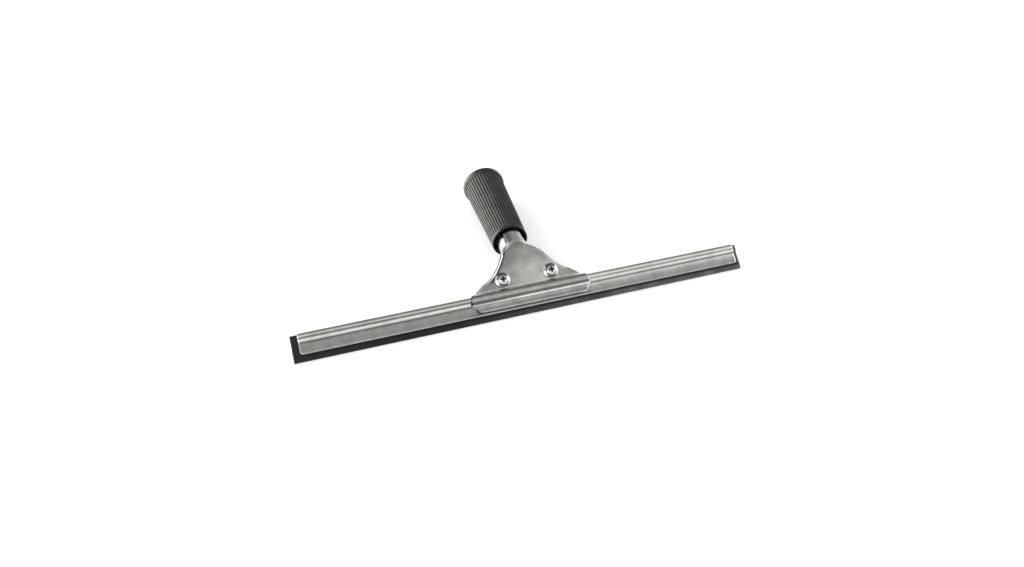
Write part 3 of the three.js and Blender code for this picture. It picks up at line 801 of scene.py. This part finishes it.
# Grip. A sleeve of dark rubber, moulded in one piece and pushed over the tube: fine ribs along it,
# a plain band at its mouth, and a flared collar with a plain rolled rim at the pole's end.

GRIP_WALL = 1.4 * MM
GRIP_TAPER = 5 * MM
COLLAR_LENGTH = 9 * MM
COLLAR_BAND = 2 * MM
RIBBED_FLARE = 0.5
MOUTH_RIM = 2.4 * MM
RIM_ROUNDING = 0.9 * MM
MOUTH_CLEARANCE = 1 * MM
RIB_COUNT = 42
RIB_HEIGHT = 0.7 * MM
RIB_STEPS = 10
RIB_FADE = 1.2 * MM
FADE_STEPS = 6
PLAIN_TONE = 0.28
BODY_STEPS = 18
FLARE_STEPS = 28
BORE_EDGE = 0.4 * MM
RUB_SIZE = 8 * MM
# Where the painted glints on the rolled rims start, and how far the painted lighter side reaches.
RIM_TOP = 7 * MM
GRIP_FLANK = 15 * MM
GRIT_SIZE = 0.4 * MM
GRIT_DEPTH = 0.05 * MM

collar_radius = (grip_high.z - grip_low.z) / 2
grip_length = grip_high.y - grip_low.y
bore_radius = TUBE_DIAMETER / 2 + FIT
mouth_radius = curl_radius + plate_lift + PLATE_SHEET / 2 + MOUTH_CLEARANCE
mouth_end = TONGUE_REACH + MOUTH_CLEARANCE
grip_radius = mouth_radius + GRIP_WALL
flare_start = grip_length - COLLAR_LENGTH
flare_end = grip_length - COLLAR_BAND


def grip_reach(along):
    """Outer radius of the sleeve before its ribs are cut."""
    share = min(max((along - MOUTH_RIM) / (flare_start - MOUTH_RIM), 0), 1)
    body = grip_radius + GRIP_TAPER / 2 * share
    return mix(body, collar_radius, smooth(flare_start, flare_end, along))


def steps_between(start, end, count):
    """Even steps from start up to, and without, end."""
    return [mix(start, end, k / count) for k in range(count)]


def geometry_tree(name, inputs):
    """A geometry tree with named inputs, and the sockets that give them."""
    tree = bpy.data.node_groups.new(name, "GeometryNodeTree")
    for label, kind in {"Geometry": "Geometry", **inputs}.items():
        tree.interface.new_socket(label, in_out="INPUT", socket_type=f"NodeSocket{kind}")
    tree.interface.new_socket("Geometry", in_out="OUTPUT", socket_type="NodeSocketGeometry")
    return tree, add(tree, "NodeGroupInput", {}).outputs


def shaped(blank, tree, values):
    """The blank as the tree shapes it, as a plain mesh."""
    step = blank.modifiers.new(tree.name, "NODES")
    step.node_group = tree
    for item in tree.interface.items_tree:
        if item.in_out == "INPUT" and item.name in values:
            step[item.identifier] = values[item.name]
    return settled(blank)


def pushed_out(tree, geometry, radial, reach):
    """Moves each point along its own way out from the axis."""
    way = add(tree, "ShaderNodeVectorMath", {0: radial}, operation="NORMALIZE")
    move = add(tree, "ShaderNodeVectorMath", {0: way, "Scale": reach}, operation="SCALE")
    return add(tree, "GeometryNodeSetPosition", {"Geometry": geometry, "Offset": move})


def finished_tree(tree, geometry, given):
    """The tree ended with real geometry in its finish."""
    real = add(tree, "GeometryNodeRealizeInstances", {"Geometry": geometry})
    painted = add(tree, "GeometryNodeSetMaterial", {"Geometry": real, "Material": given["Finish"]})
    add(tree, "NodeGroupOutput", {"Geometry": painted})
    return tree


# Cuts the grooves between the ribs, round an axis along Y, and keeps how deep each point lies, as the tone
# for painted shade in the grooves and bore.
def rib_tree():
    tree, given = geometry_tree("grip_ribs", {
        "Ribs": "Int", "Rib Height": "Float", "Axis Height": "Float", "Least Radius": "Float",
        "Start": "Float", "End": "Float", "Fade": "Float", "Finish": "Material",
    })
    position = add(tree, "GeometryNodeInputPosition", {})
    x, along, z = add(tree, "ShaderNodeSeparateXYZ", {"Vector": position}).outputs
    height = add(tree, "ShaderNodeMath", {0: z, 1: given["Axis Height"]}, operation="SUBTRACT")
    radial = add(tree, "ShaderNodeCombineXYZ", {"X": x, "Z": height})
    radius = add(tree, "ShaderNodeVectorMath", {0: radial}, operation="LENGTH").outputs["Value"]
    angle = add(tree, "ShaderNodeMath", {0: x, 1: height}, operation="ARCTAN2")
    phase = add(tree, "ShaderNodeMath", {0: angle, 1: given["Ribs"]}, operation="MULTIPLY")
    crest = add(tree, "ShaderNodeMath", {0: phase, 1: 0.5}, operation="MULTIPLY")
    for operation in ("COSINE", "ABSOLUTE"):
        crest = add(tree, "ShaderNodeMath", {0: crest}, operation=operation)
    groove = add(tree, "ShaderNodeMath", {0: 1, 1: crest}, operation="SUBTRACT")
    outer = add(tree, "ShaderNodeMath", {0: radius, 1: given["Least Radius"]}, operation="GREATER_THAN")
    ribbed = outer
    for end, operation in (("Start", "ADD"), ("End", "SUBTRACT")):
        full = add(tree, "ShaderNodeMath", {0: given[end], 1: given["Fade"]}, operation=operation)
        share = add(tree, "ShaderNodeMapRange", {
            "Value": along, "From Min": given[end], "From Max": full,
        }, interpolation_type="SMOOTHSTEP")
        ribbed = add(tree, "ShaderNodeMath", {0: ribbed, 1: share}, operation="MULTIPLY")
    depth = add(tree, "ShaderNodeMath", {0: groove, 1: ribbed}, operation="MULTIPLY")
    plain = add(tree, "ShaderNodeMapRange", {"Value": ribbed, "To Min": PLAIN_TONE, "To Max": 0})
    inner = add(tree, "ShaderNodeMath", {0: 1, 1: outer}, operation="SUBTRACT")
    unribbed_shade = add(tree, "ShaderNodeMath", {0: plain, 1: inner}, operation="MAXIMUM")
    tone = add(tree, "ShaderNodeMath", {0: depth, 1: unribbed_shade}, operation="ADD")
    kept = add(tree, "GeometryNodeStoreNamedAttribute", {
        "Geometry": given["Geometry"], "Name": "groove", "Value": tone,
    }, data_type="FLOAT", domain="POINT")
    cut = add(tree, "ShaderNodeMath", {0: depth, 1: given["Rib Height"]}, operation="MULTIPLY")
    inward = add(tree, "ShaderNodeMath", {0: cut, 1: -1}, operation="MULTIPLY")
    return finished_tree(tree, pushed_out(tree, kept, radial, inward), given)


# Moulded rubber is matt and dark, with a grit that is drawn coarse enough to show, and paler in random
# patches where hands rub it. Its rib crests carry painted highlights and its grooves painted shade; the
# rolled rims on the flanks carry painted glints, the left side, where light falls, is painted paler, and the
# very ends are painted black as shade.
def moulded_rubber():
    tree, material = finish("natural_rubber_moulded")
    place = add(tree, "ShaderNodeTexCoord", {}).outputs["Object"]
    groove = add(tree, "ShaderNodeAttribute", {}, attribute_name="groove").outputs["Fac"]
    shade = ramp(tree, groove, ((0, colour("#8c8c86")), (0.38, colour("#181816"))))
    tone_marks = add(tree, "ShaderNodeTexNoise", {"Vector": place, "Scale": 1 / RUB_SIZE, "Detail": 5})
    wear_and_painted_light = add(tree, "ShaderNodeMapRange", {"Value": tone_marks, "To Min": 0.6, "To Max": 1.3})
    x, y = add(tree, "ShaderNodeSeparateXYZ", {"Vector": place}).outputs[:2]
    # The left side is painted paler, as light falls on it; the rolled rims on the flanks carry painted
    # glints.
    side = add(tree, "ShaderNodeMapRange", {
        "Value": x, "From Min": -GRIP_FLANK, "From Max": 0, "To Min": 1.4, "To Max": 0.3,
    })
    along = add(tree, "ShaderNodeMath", {0: y, 1: grip_low.y}, operation="SUBTRACT")
    middle = (grip_length - COLLAR_BAND / 2) / 2
    near = add(tree, "ShaderNodeMath", {0: along, 1: middle}, operation="PINGPONG")
    # The very ends are painted dark as shade.
    painted_shade = add(tree, "ShaderNodeMapRange", {
        "Value": near, "From Min": RIM_ROUNDING, "From Max": 1.5 * RIM_ROUNDING, "To Min": 0.1, "To Max": 1,
    })
    flank = add(tree, "ShaderNodeMath", {0: x}, operation="ABSOLUTE")
    rolled = add(tree, "ShaderNodeMapRange", {
        "Value": flank, "From Min": RIM_TOP, "From Max": GRIP_FLANK, "To Min": 0.4, "To Max": 6,
    })
    tone = add(tree, "ShaderNodeMapRange", {
        "Value": near, "From Min": MOUTH_RIM + RIB_FADE / 2, "From Max": MOUTH_RIM - RIB_FADE / 2,
        "To Min": side, "To Max": rolled,
    })
    for share in (wear_and_painted_light, tone, painted_shade):
        shade = add(tree, "ShaderNodeVectorMath", {0: shade, "Scale": share}, operation="SCALE")
    grit = add(tree, "ShaderNodeTexNoise", {"Vector": place, "Scale": 1 / GRIT_SIZE, "Detail": 2})
    bump = add(tree, "ShaderNodeBump", {"Height": grit, "Strength": 0.5, "Distance": GRIT_DEPTH})
    gloss = add(tree, "ShaderNodeMapRange", {"Value": tone_marks, "To Min": 0.62, "To Max": 0.45})
    surface(tree, add(tree, "ShaderNodeBsdfPrincipled", {
        "Base Color": shade, "Roughness": gloss, "Normal": bump,
        "IOR": RUBBER_IOR, "Specular IOR Level": 0.18,
    }))
    return material


grip_rows = [
    *steps_between(MOUTH_RIM, MOUTH_RIM + RIB_FADE, FADE_STEPS),
    *steps_between(MOUTH_RIM + RIB_FADE, flare_start, BODY_STEPS),
    *steps_between(flare_start, flare_end, FLARE_STEPS),
    flare_end,
]
grip_profile = filleted([
    ((0, grip_reach(0)), RIM_ROUNDING),
    *[((along, grip_reach(along)), 0) for along in grip_rows],
    ((grip_length, collar_radius), RIM_ROUNDING),
    ((grip_length, bore_radius), BORE_EDGE),
    ((mouth_end + mouth_radius - bore_radius, bore_radius), 0),
    ((mouth_end, mouth_radius), 0),
    ((0, mouth_radius), BORE_EDGE),
])
grip_rings = []
for along, radius in grip_profile:
    grip_rings.append([
        (radius * math.sin(turn), grip_low.y + along, tube_axis + radius * math.cos(turn))
        for turn in turns_round(RIB_COUNT * RIB_STEPS)
    ])

grip_finish = moulded_rubber()
grip_sleeve = shaped(through_rings("grip_sleeve", grip_rings, grip_finish, endless=True), rib_tree(), {
    "Ribs": RIB_COUNT, "Rib Height": RIB_HEIGHT, "Fade": RIB_FADE, "Finish": grip_finish,
    "Axis Height": tube_axis, "Least Radius": grip_radius - RIB_HEIGHT,
    "Start": grip_low.y + MOUTH_RIM, "End": grip_low.y + mix(flare_start, flare_end, RIBBED_FLARE),
})
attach(grip_sleeve, "handle")
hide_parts("grip")


# Front plate. The upper half of the handle, stamped from the same sheet: a jaw, a panel raised by half a
# millimetre inside a formed rim, with an arched top, and a tongue that runs into the grip over the tube.

PANEL_STEP = 0.7 * MM
ARCH_LOW = 7 * MM
ARCH_STEP = 0.3 * MM
TONGUE_STEP = 1 * MM
PANEL_COLUMNS = 60
RIM_COLUMNS = 12
SWING_CLEARANCE = 1.1 * MM
# Painted light on the front plate: jaw ends lighter to the right and darker to the left, a darker left side,
# a painted sheen between the screws, a darker panel and painted highlight lines along the rim.
END_LIGHT_WIDTH = 1.6 * MM
FORMED_CORNER = 0.4 * MM
LEFT_SHADE_END = -30 * MM
LEFT_SHADE_START = -8 * MM
SHEEN_MIDDLE = 7 * MM
SHEEN_REACH = 20 * MM
SHEEN_STRENGTH = 0.7
PANEL_SHADE = 0.45
RIM_LINE = 2 * MM
LEFT_LINE_HIGHLIGHT = 1.3
RIGHT_LINE_HIGHLIGHT = 1.1
RIM_SHADE = 0.7
TONGUE_SHADE = 0.9

arch_top = bend_end - PANEL_RIM / 2

# Painted light and shade up the jaw: a level, and how bright or dark it is painted to the left and to the
# right.
jaw_light_table = (
    (jaw_low + 0.5 * MM, -0.1, -0.1),
    (jaw_low + 1 * MM, -0.45, -0.45),
    (jaw_low + 2 * MM, -0.4, -0.4),
    (NECK_LEVEL - 2.2 * MM, 0.6, 0.5),
    (NECK_LEVEL - 1.4 * MM, 0.15, 0.15),
    (NECK_LEVEL, 0.2, 0.95),
    (NECK_LEVEL + 0.4 * MM, 0, 0.7),
    (NECK_LEVEL + 1.4 * MM, -1, -0.9),
    (NECK_LEVEL + 2.4 * MM, -1, -0.95),
    (bead_middle, 0.1, 0.15),
    (bead_middle + 1 * MM, 0.2, 0.25),
    (panel_start - 2 * MM, -0.85, -0.8),
    (panel_start - 0.5 * MM, 1, 1),
    (panel_start + 0.6 * MM, 1, 1),
    (panel_start + 1.8 * MM, 0, 0),
)


def raised(s, across):
    """How much of the panel's raise a point has: none on the rim or above the arch."""
    half = half_width(s) - PANEL_RIM
    rim = smooth(half + FORMED_CORNER, half - FORMED_CORNER, abs(across)) if s > panel_start else 1
    rim = mix(1, rim, smooth(panel_start, panel_start + PANEL_RIM, s))
    arch = arch_top - ARCH_LOW * (1 - math.sqrt(max(1 - (across / (NECK_WIDTH / 2)) ** 2, 0)))
    return rim * smooth(arch + FORMED_CORNER, arch - FORMED_CORNER, s)


def front_columns(spot):
    """Columns across the front plate, close together where its rim is formed."""
    half = half_width(spot.x) - PLATE_EDGE
    step = half - 2 * PANEL_RIM
    rim = steps_between(half, step, RIM_COLUMNS)
    inner = [step * (1 - 2 * k / PANEL_COLUMNS) for k in range(PANEL_COLUMNS + 1)]
    return [-x for x in rim] + [-x for x in inner] + list(reversed(rim))


def front_spot(station, across, offset):
    spot = station[0] + station[1] * offset
    drop = PANEL_RAISE * (1 - raised(station[0].x, across))
    return on_plate(spot.x, across, spot.y - drop)


def front_painted_light(station, across, offset):
    """Painted highlights in the crease, on the formed rim above the shoulders, between the screws and at the
    jaw's right end, and painted shade on the bead's flanks, along the edges, beside the tongue and at the
    jaw's left end."""
    level = station[0].x
    inside = inset(level, across)
    edge = smooth(EDGE_SHADE_WIDTH, 0, inside) * smooth(panel_start, panel_start + PANEL_RIM, level)
    if offset <= 0:
        return -edge
    jaw = graded(jaw_light_table, level, smooth(LEFT_SHADE_END, LEFT_SHADE_START, across))
    if level < panel_start:
        return jaw + math.copysign(smooth(END_LIGHT_WIDTH, 0, inside), across)
    up = raised(level, across)
    formed = 4 * up * (1 - up)
    left = smooth(SHEEN_MIDDLE, -SHEEN_MIDDLE, across)
    above = smooth(shoulder.y - EDGE_SHADE_WIDTH, shoulder.y + EDGE_SHADE_WIDTH, level)
    rim = above * smooth(bend_end, bend_end - PANEL_RIM, level)
    line = rim * smooth(0, EDGE_SHADE_WIDTH, inside) * smooth(RIM_LINE, EDGE_SHADE_WIDTH, inside)
    shade = rim * left * smooth(EDGE_SHADE_WIDTH, RIM_LINE, inside) * smooth(2 * RIM_LINE, RIM_LINE, inside)
    tongue = smooth(bend_end - PANEL_RIM, bend_end + PANEL_RIM, level)
    tongue_gap_shade = tongue * smooth(2 * LEFT_SHADE_WIDTH, LEFT_SHADE_WIDTH / 2, across + TONGUE_WIDTH / 2)
    sheen = SHEEN_STRENGTH * math.exp(-((across - SHEEN_MIDDLE) / SHEEN_REACH) ** 2) - PANEL_SHADE
    panel = sheen * up + mix(RIGHT_LINE_HIGHLIGHT, LEFT_LINE_HIGHLIGHT, left) * line + formed * above
    panel -= RIM_SHADE * shade + TONGUE_SHADE * tongue_gap_shade + edge
    return jaw + panel * smooth(panel_start, panel_start + PANEL_RIM, level)


front_line = jaw_line(panel_lift)
front_line = carried_on(front_line, arch_top - ARCH_LOW - PANEL_RIM, PANEL_STEP)
front_line = carried_on(front_line, bend_end + PANEL_RIM * 2, ARCH_STEP)
front_line = carried_on(front_line, tongue_end, TONGUE_STEP)

front_pressing = sheet_piece(
    "front_pressing", stations_along(front_line, PLATE_SHEET / 2, PLATE_EDGE), front_columns, front_spot,
    front_painted_light, PLATE_EDGE, pressed_steel)
carved(front_pressing, screw_holes(SCREW_RADIUS + SWING_CLEARANCE, pressed_steel))
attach(front_pressing, "jaw")
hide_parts("front_plate")


# Clamping screws. Two M5 pan-head screws with a cross recess, turned and thread-rolled from bright steel,
# each with a punched plain washer under its head and a hexagon nut behind the back plate.

WASHER_RADIUS = 5.8 * MM
WASHER_THICKNESS = 1 * MM
WASHER_CORNER = 0.25 * MM
WASHER_EDGE = 0.45 * MM
# Painted highlight at the washer's sides and painted shade at its top and bottom.
WASHER_HIGHLIGHT = 0.3
WASHER_SHADE = 1
WASHER_SHADE_START = 0.5
WASHER_SHADE_FULL = 0.9
HEAD_RADIUS = 4.4 * MM
HEAD_HEIGHT = 2.4 * MM
HEAD_EDGE = 0.8 * MM
HEAD_CORNER = 0.2 * MM
# Where the painted shade round the head's rim starts, and how dark it is painted on the side towards the
# neck.
HEAD_RIM = 3.9 * MM
HEAD_SHADE = 0.6
HEAD_STEPS = 16
RECESS_WIDTH = 5 * MM
RECESS_WING = 1.4 * MM
RECESS_DEPTH = 1.5 * MM
RECESS_TAPER = 0.8
NUT_FLATS = 8 * MM
NUT_HEIGHT = 4 * MM
NUT_CHAMFER = 0.5 * MM
SCREW_PROTRUSION = 1.5 * MM
THREAD_PITCH = 0.8 * MM
THREAD_DEPTH = 0.4 * MM
THREAD_STEP = 0.1 * MM
THREAD_FACE = 0.01 * MM
THREAD_SIDES = 48
TURNED_SIDES = 72

bore = SCREW_RADIUS + FIT
washer_low = panel_lift + PLATE_SHEET / 2 + FIT
head_low = washer_low + WASHER_THICKNESS + FIT
nut_high = -plate_lift - PLATE_SHEET / 2 - FIT
screw_end = nut_high - NUT_HEIGHT - SCREW_PROTRUSION
blade_turn = Euler((BLADE_ANGLE, 0, 0))


def with_painted_light(made, painted_light_at):
    """The piece with each point's painted light and shade, from its place."""
    tone_marks = made.data.attributes.new("wear_and_painted_light", "FLOAT", "POINT")
    tone_marks.data.foreach_set("value", [painted_light_at(vertex.co) for vertex in made.data.vertices])
    return made


# Cuts a right-hand thread into the faces at one radius, round Z, then sets the fastener in its place.
def fastener_tree():
    tree, given = geometry_tree("fastener", {
        "Place": "Vector", "Turn": "Rotation", "Thread Radius": "Float", "Pitch": "Float", "Depth": "Float",
        "From": "Float", "To": "Float", "Finish": "Material",
    })
    position = add(tree, "GeometryNodeInputPosition", {})
    x, y, height = add(tree, "ShaderNodeSeparateXYZ", {"Vector": position}).outputs
    radial = add(tree, "ShaderNodeCombineXYZ", {"X": x, "Y": y})
    radius = add(tree, "ShaderNodeVectorMath", {0: radial}, operation="LENGTH").outputs["Value"]
    angle = add(tree, "ShaderNodeMath", {0: y, 1: x}, operation="ARCTAN2")
    turns = add(tree, "ShaderNodeMath", {0: angle, 1: 2 * math.pi}, operation="DIVIDE")
    rises = add(tree, "ShaderNodeMath", {0: height, 1: given["Pitch"]}, operation="DIVIDE")
    phase = add(tree, "ShaderNodeMath", {0: rises, 1: turns}, operation="SUBTRACT")
    wave = add(tree, "ShaderNodeMath", {0: phase, 1: 0.5}, operation="PINGPONG")
    on_face = add(tree, "ShaderNodeMath", {
        0: radius, 1: given["Thread Radius"], 2: THREAD_FACE,
    }, operation="COMPARE")
    above = add(tree, "ShaderNodeMath", {0: height, 1: given["From"]}, operation="GREATER_THAN")
    below = add(tree, "ShaderNodeMath", {0: height, 1: given["To"]}, operation="LESS_THAN")
    depth = add(tree, "ShaderNodeMath", {0: wave, 1: 2}, operation="MULTIPLY")
    for share in (on_face, above, below, given["Depth"]):
        depth = add(tree, "ShaderNodeMath", {0: depth, 1: share}, operation="MULTIPLY")
    spot = add(tree, "GeometryNodePoints", {"Count": 1, "Position": given["Place"]})
    set_in = add(tree, "GeometryNodeInstanceOnPoints", {
        "Points": spot, "Instance": pushed_out(tree, given["Geometry"], radial, depth),
        "Rotation": given["Turn"],
    })
    return finished_tree(tree, set_in, given)


def washer_blank(name, material):
    """A washer with its top turned down to its edge, painted dark towards the neck and towards the rubber as
    shade, and lighter at its sides as a highlight.
    """
    corners = [
        (bore, 0), (WASHER_RADIUS, 0), (WASHER_RADIUS, WASHER_EDGE), (HEAD_RADIUS, WASHER_THICKNESS),
        (bore, WASHER_THICKNESS),
    ]
    washer = turned(name, filleted([(corner, WASHER_CORNER) for corner in corners]), TURNED_SIDES, material)

    def washer_painted_light(spot):
        share = smooth(WASHER_SHADE_START, WASHER_SHADE_FULL, abs(spot.y) / spot.xy.length)
        return mix(WASHER_HIGHLIGHT, -WASHER_SHADE, share)

    return with_painted_light(washer, washer_painted_light)


def screw_blank(name, material):
    """A screw standing on its head's underside, with its cross recess cut."""
    tip = screw_end - head_low
    thread_end = tip + NUT_HEIGHT + SCREW_PROTRUSION + PLATE_SHEET
    rows = [(SCREW_RADIUS - THREAD_DEPTH, tip), (SCREW_RADIUS, tip + THREAD_DEPTH)]
    count = round((thread_end - tip) / THREAD_STEP)
    rows += [(SCREW_RADIUS, mix(tip + THREAD_DEPTH, thread_end, (k + 1) / count)) for k in range(count)]
    rows += [(SCREW_RADIUS, 0), (HEAD_RADIUS - HEAD_CORNER, 0), (HEAD_RADIUS, HEAD_CORNER)]
    for k in range(HEAD_STEPS):
        turn = math.pi / 2 * k / HEAD_STEPS
        rows.append((HEAD_RADIUS * math.cos(turn), mix(HEAD_EDGE, HEAD_HEIGHT, math.sin(turn))))
    screw = turned(name, rows, THREAD_SIDES, material, endless=False)
    half, wing = RECESS_WIDTH / 2, RECESS_WING / 2
    quarter = [Vector((half, -wing)), Vector((half, wing)), Vector((wing, wing))]
    corners = [Matrix.Rotation(math.pi / 2 * k, 2) @ corner for k in range(4) for corner in quarter]
    cross = filleted([(corner, wing / 2) for corner in corners])
    rings = []
    for height, share in ((HEAD_HEIGHT - RECESS_DEPTH, RECESS_TAPER), (HEAD_HEIGHT + HEAD_CORNER, 1)):
        rings.append([Vector((point.x * share, point.y * share, height)) for point in cross])
    carved(screw, [through_rings("recess_cutter", rings, material)])

    def head_painted_shade(spot):
        """Painted shade on the recess's floor, round the head's rim and on its side towards the neck."""
        reach = spot.xy.length
        if reach < half and abs(spot.z - HEAD_HEIGHT + RECESS_DEPTH) < MERGE:
            return DARKEST_SHADE
        return -smooth(HEAD_RIM - HEAD_CORNER, HEAD_RIM, reach) - HEAD_SHADE * smooth(0, HEAD_RADIUS, spot.y)

    return with_painted_light(screw, head_painted_shade)


def nut_blank(name, material):
    """A hexagon nut hanging under its seat, with chamfered corners and a countersunk bore."""
    flat = NUT_FLATS / 2
    side = math.pi / 3
    count = round((NUT_HEIGHT - 2 * THREAD_DEPTH) / THREAD_STEP)
    profile = [(bore + THREAD_DEPTH, 0)]
    profile += [(bore, mix(-THREAD_DEPTH, THREAD_DEPTH - NUT_HEIGHT, k / count)) for k in range(count + 1)]
    profile += [(bore + THREAD_DEPTH, -NUT_HEIGHT), (flat, -NUT_HEIGHT)]
    profile += [(None, NUT_CHAMFER - NUT_HEIGHT), (None, -NUT_CHAMFER), (flat, 0)]
    rings = []
    for radius, height in profile:
        ring = []
        for turn in turns_round(TURNED_SIDES):
            reach = radius or flat / math.cos((turn + side / 2) % side - side / 2)
            ring.append((reach * math.cos(turn), reach * math.sin(turn), height))
        rings.append(ring)
    return through_rings(name, rings, material, endless=True)


bright_steel = stainless(
    "steel_turned_bright", ("#d0d0cc", "#e0e0dc"), (0.06, 0.16), (3 * MM, 0.3 * MM), 3 * MM, 0.01 * MM)
fastener = fastener_tree()

# Fasteners: name, blank, the level it sits at, which way its thread is cut, and its body and node.
blanks = (
    ("plain_washer", washer_blank, washer_low, 0, "{}_washer", "{}_washer"),
    ("cross_screw", screw_blank, head_low, -1, "{}_screw", "{}_screw"),
    ("hex_nut", nut_blank, nut_high, 1, "handle", "{}_nut"),
)
for side in ("left", "right"):
    seat = Vector(joints[f"{side}_screw_turn"]["pos_m"])
    level = (seat - wiping_edge).dot(blade_up)
    for label, blank, height, thread, body, node in blanks:
        made = shaped(blank(f"{side}_{label}", bright_steel), fastener, {
            "Place": on_blade(seat.x, level, height), "Turn": blade_turn, "Finish": bright_steel,
            "Thread Radius": SCREW_RADIUS if thread < 0 else bore, "Pitch": THREAD_PITCH,
            "Depth": thread * THREAD_DEPTH,
            "From": screw_end - head_low + THREAD_DEPTH if thread < 0 else -NUT_HEIGHT,
            "To": nut_high - head_low + PLATE_SHEET if thread < 0 else 0,
        })
        even_normals(made)
        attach(made, body.format(side))
        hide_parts(node.format(side))


# Table, studio light and camera. A white table top in a soft white room, with two soft boxes on the left
# and one on the right, seen from in front and a little to the left, from above.

FLOOR_HALF = 4
FLOOR_DROP = 0.1 * MM
FLOOR_GLOW = 0.36
LENS = 23.615
SENSOR = 36
VIEW_AZIMUTH = math.radians(-17.161)
VIEW_ELEVATION = math.radians(42.666)
VIEW_ROLL = math.radians(0.284)
VIEW_DISTANCE = 543.246 * MM
VIEW_TARGET = Vector((-6.996, -36.784, -1.367)) * MM

# How bright the room is from the front, over the top, to the back, in shares of half a turn.
room_levels = ((0.3, 1), (0.41, 0.55), (0.62, 0.5), (0.69, 0.28), (0.76, 0.42), (0.84, 0.5), (0.92, 1.2))

# Square soft boxes: name, place, width and radiance.
soft_boxes = (
    ("back_left_soft_box", Vector((-0.85, 0.65, 0.5)), 0.8, 3.5),
    ("front_left_soft_box", Vector((-0.75, -0.65, 0.7)), 0.7, 2.5),
    ("right_soft_box", Vector((1.15, -0.1, 0.55)), 0.8, 2),
)


# White laminate. What the lens and the bright metal see of it is topped up to white, with shadows kept.
def white_table():
    tree, material = finish("white_table_top")
    path = add(tree, "ShaderNodeLightPath", {}).outputs
    seen = path["Is Camera Ray"]
    for ray in ("Is Glossy Ray", "Is Transmission Ray"):
        seen = add(tree, "ShaderNodeMath", {0: seen, 1: path[ray]}, operation="MAXIMUM")
    glow = add(tree, "ShaderNodeMath", {0: seen, 1: FLOOR_GLOW}, operation="MULTIPLY")
    surface(tree, add(tree, "ShaderNodeBsdfPrincipled", {
        "Base Color": colour("#ececec"), "Roughness": 0.9, "Specular IOR Level": 0,
        "Emission Color": colour("#ffffff"), "Emission Strength": glow,
    }))
    return material


floor_corners = ((-1, -1), (1, -1), (1, 1), (-1, 1))
floor = piece(
    "table_top", [(x * FLOOR_HALF, y * FLOOR_HALF, -FLOOR_DROP) for x, y in floor_corners], [(0, 1, 2, 3)],
    white_table())


def studio_world():
    """A room with pale walls and a grey ceiling, darkest just behind the top, and white for the lens."""
    world = bpy.data.worlds.new("soft_room")
    world.use_nodes = True
    tree = world.node_tree
    tree.nodes.clear()
    way = add(tree, "ShaderNodeTexCoord", {}).outputs["Generated"]
    x, y, up = add(tree, "ShaderNodeSeparateXYZ", {"Vector": way}).outputs
    front = add(tree, "ShaderNodeMath", {0: y, 1: -1}, operation="MULTIPLY")
    over = add(tree, "ShaderNodeMath", {0: up, 1: front}, operation="ARCTAN2")
    share = add(tree, "ShaderNodeMath", {0: over, 1: math.pi}, operation="DIVIDE")
    shade = ramp(tree, share, [(place, grey(level)) for place, level in room_levels])
    room = add(tree, "ShaderNodeBackground", {"Color": shade, "Strength": 1})
    white = add(tree, "ShaderNodeBackground", {"Color": colour("#ffffff"), "Strength": 1})
    seen = add(tree, "ShaderNodeLightPath", {}).outputs["Is Camera Ray"]
    either = add(tree, "ShaderNodeMixShader", {0: seen, 1: room, 2: white})
    add(tree, "ShaderNodeOutputWorld", {"Surface": either})
    return world


scene = bpy.context.scene
scene.world = studio_world()
scene.view_settings.view_transform = "Standard"
for name, place, width, radiance in soft_boxes:
    lamp = bpy.data.lights.new(name, "AREA")
    lamp.size = width
    lamp.energy = radiance * math.pi * width * width
    box = bpy.data.objects.new(name, lamp)
    box.location = place
    box.rotation_euler = place.to_track_quat("Z", "Y").to_euler()
    box.visible_camera = False
    scene.collection.objects.link(box)

view_back = Vector((
    math.sin(VIEW_AZIMUTH) * math.cos(VIEW_ELEVATION),
    -math.cos(VIEW_AZIMUTH) * math.cos(VIEW_ELEVATION),
    math.sin(VIEW_ELEVATION),
))
lens = bpy.data.cameras.new("camera")
lens.sensor_width = SENSOR
lens.lens = LENS
camera = bpy.data.objects.new("camera", lens)
camera.location = VIEW_TARGET + view_back * VIEW_DISTANCE
turn = view_back.to_track_quat("Z", "Y") @ Quaternion((0, 0, 1), VIEW_ROLL)
camera.rotation_euler = turn.to_euler()
scene.collection.objects.link(camera)
scene.camera = camera
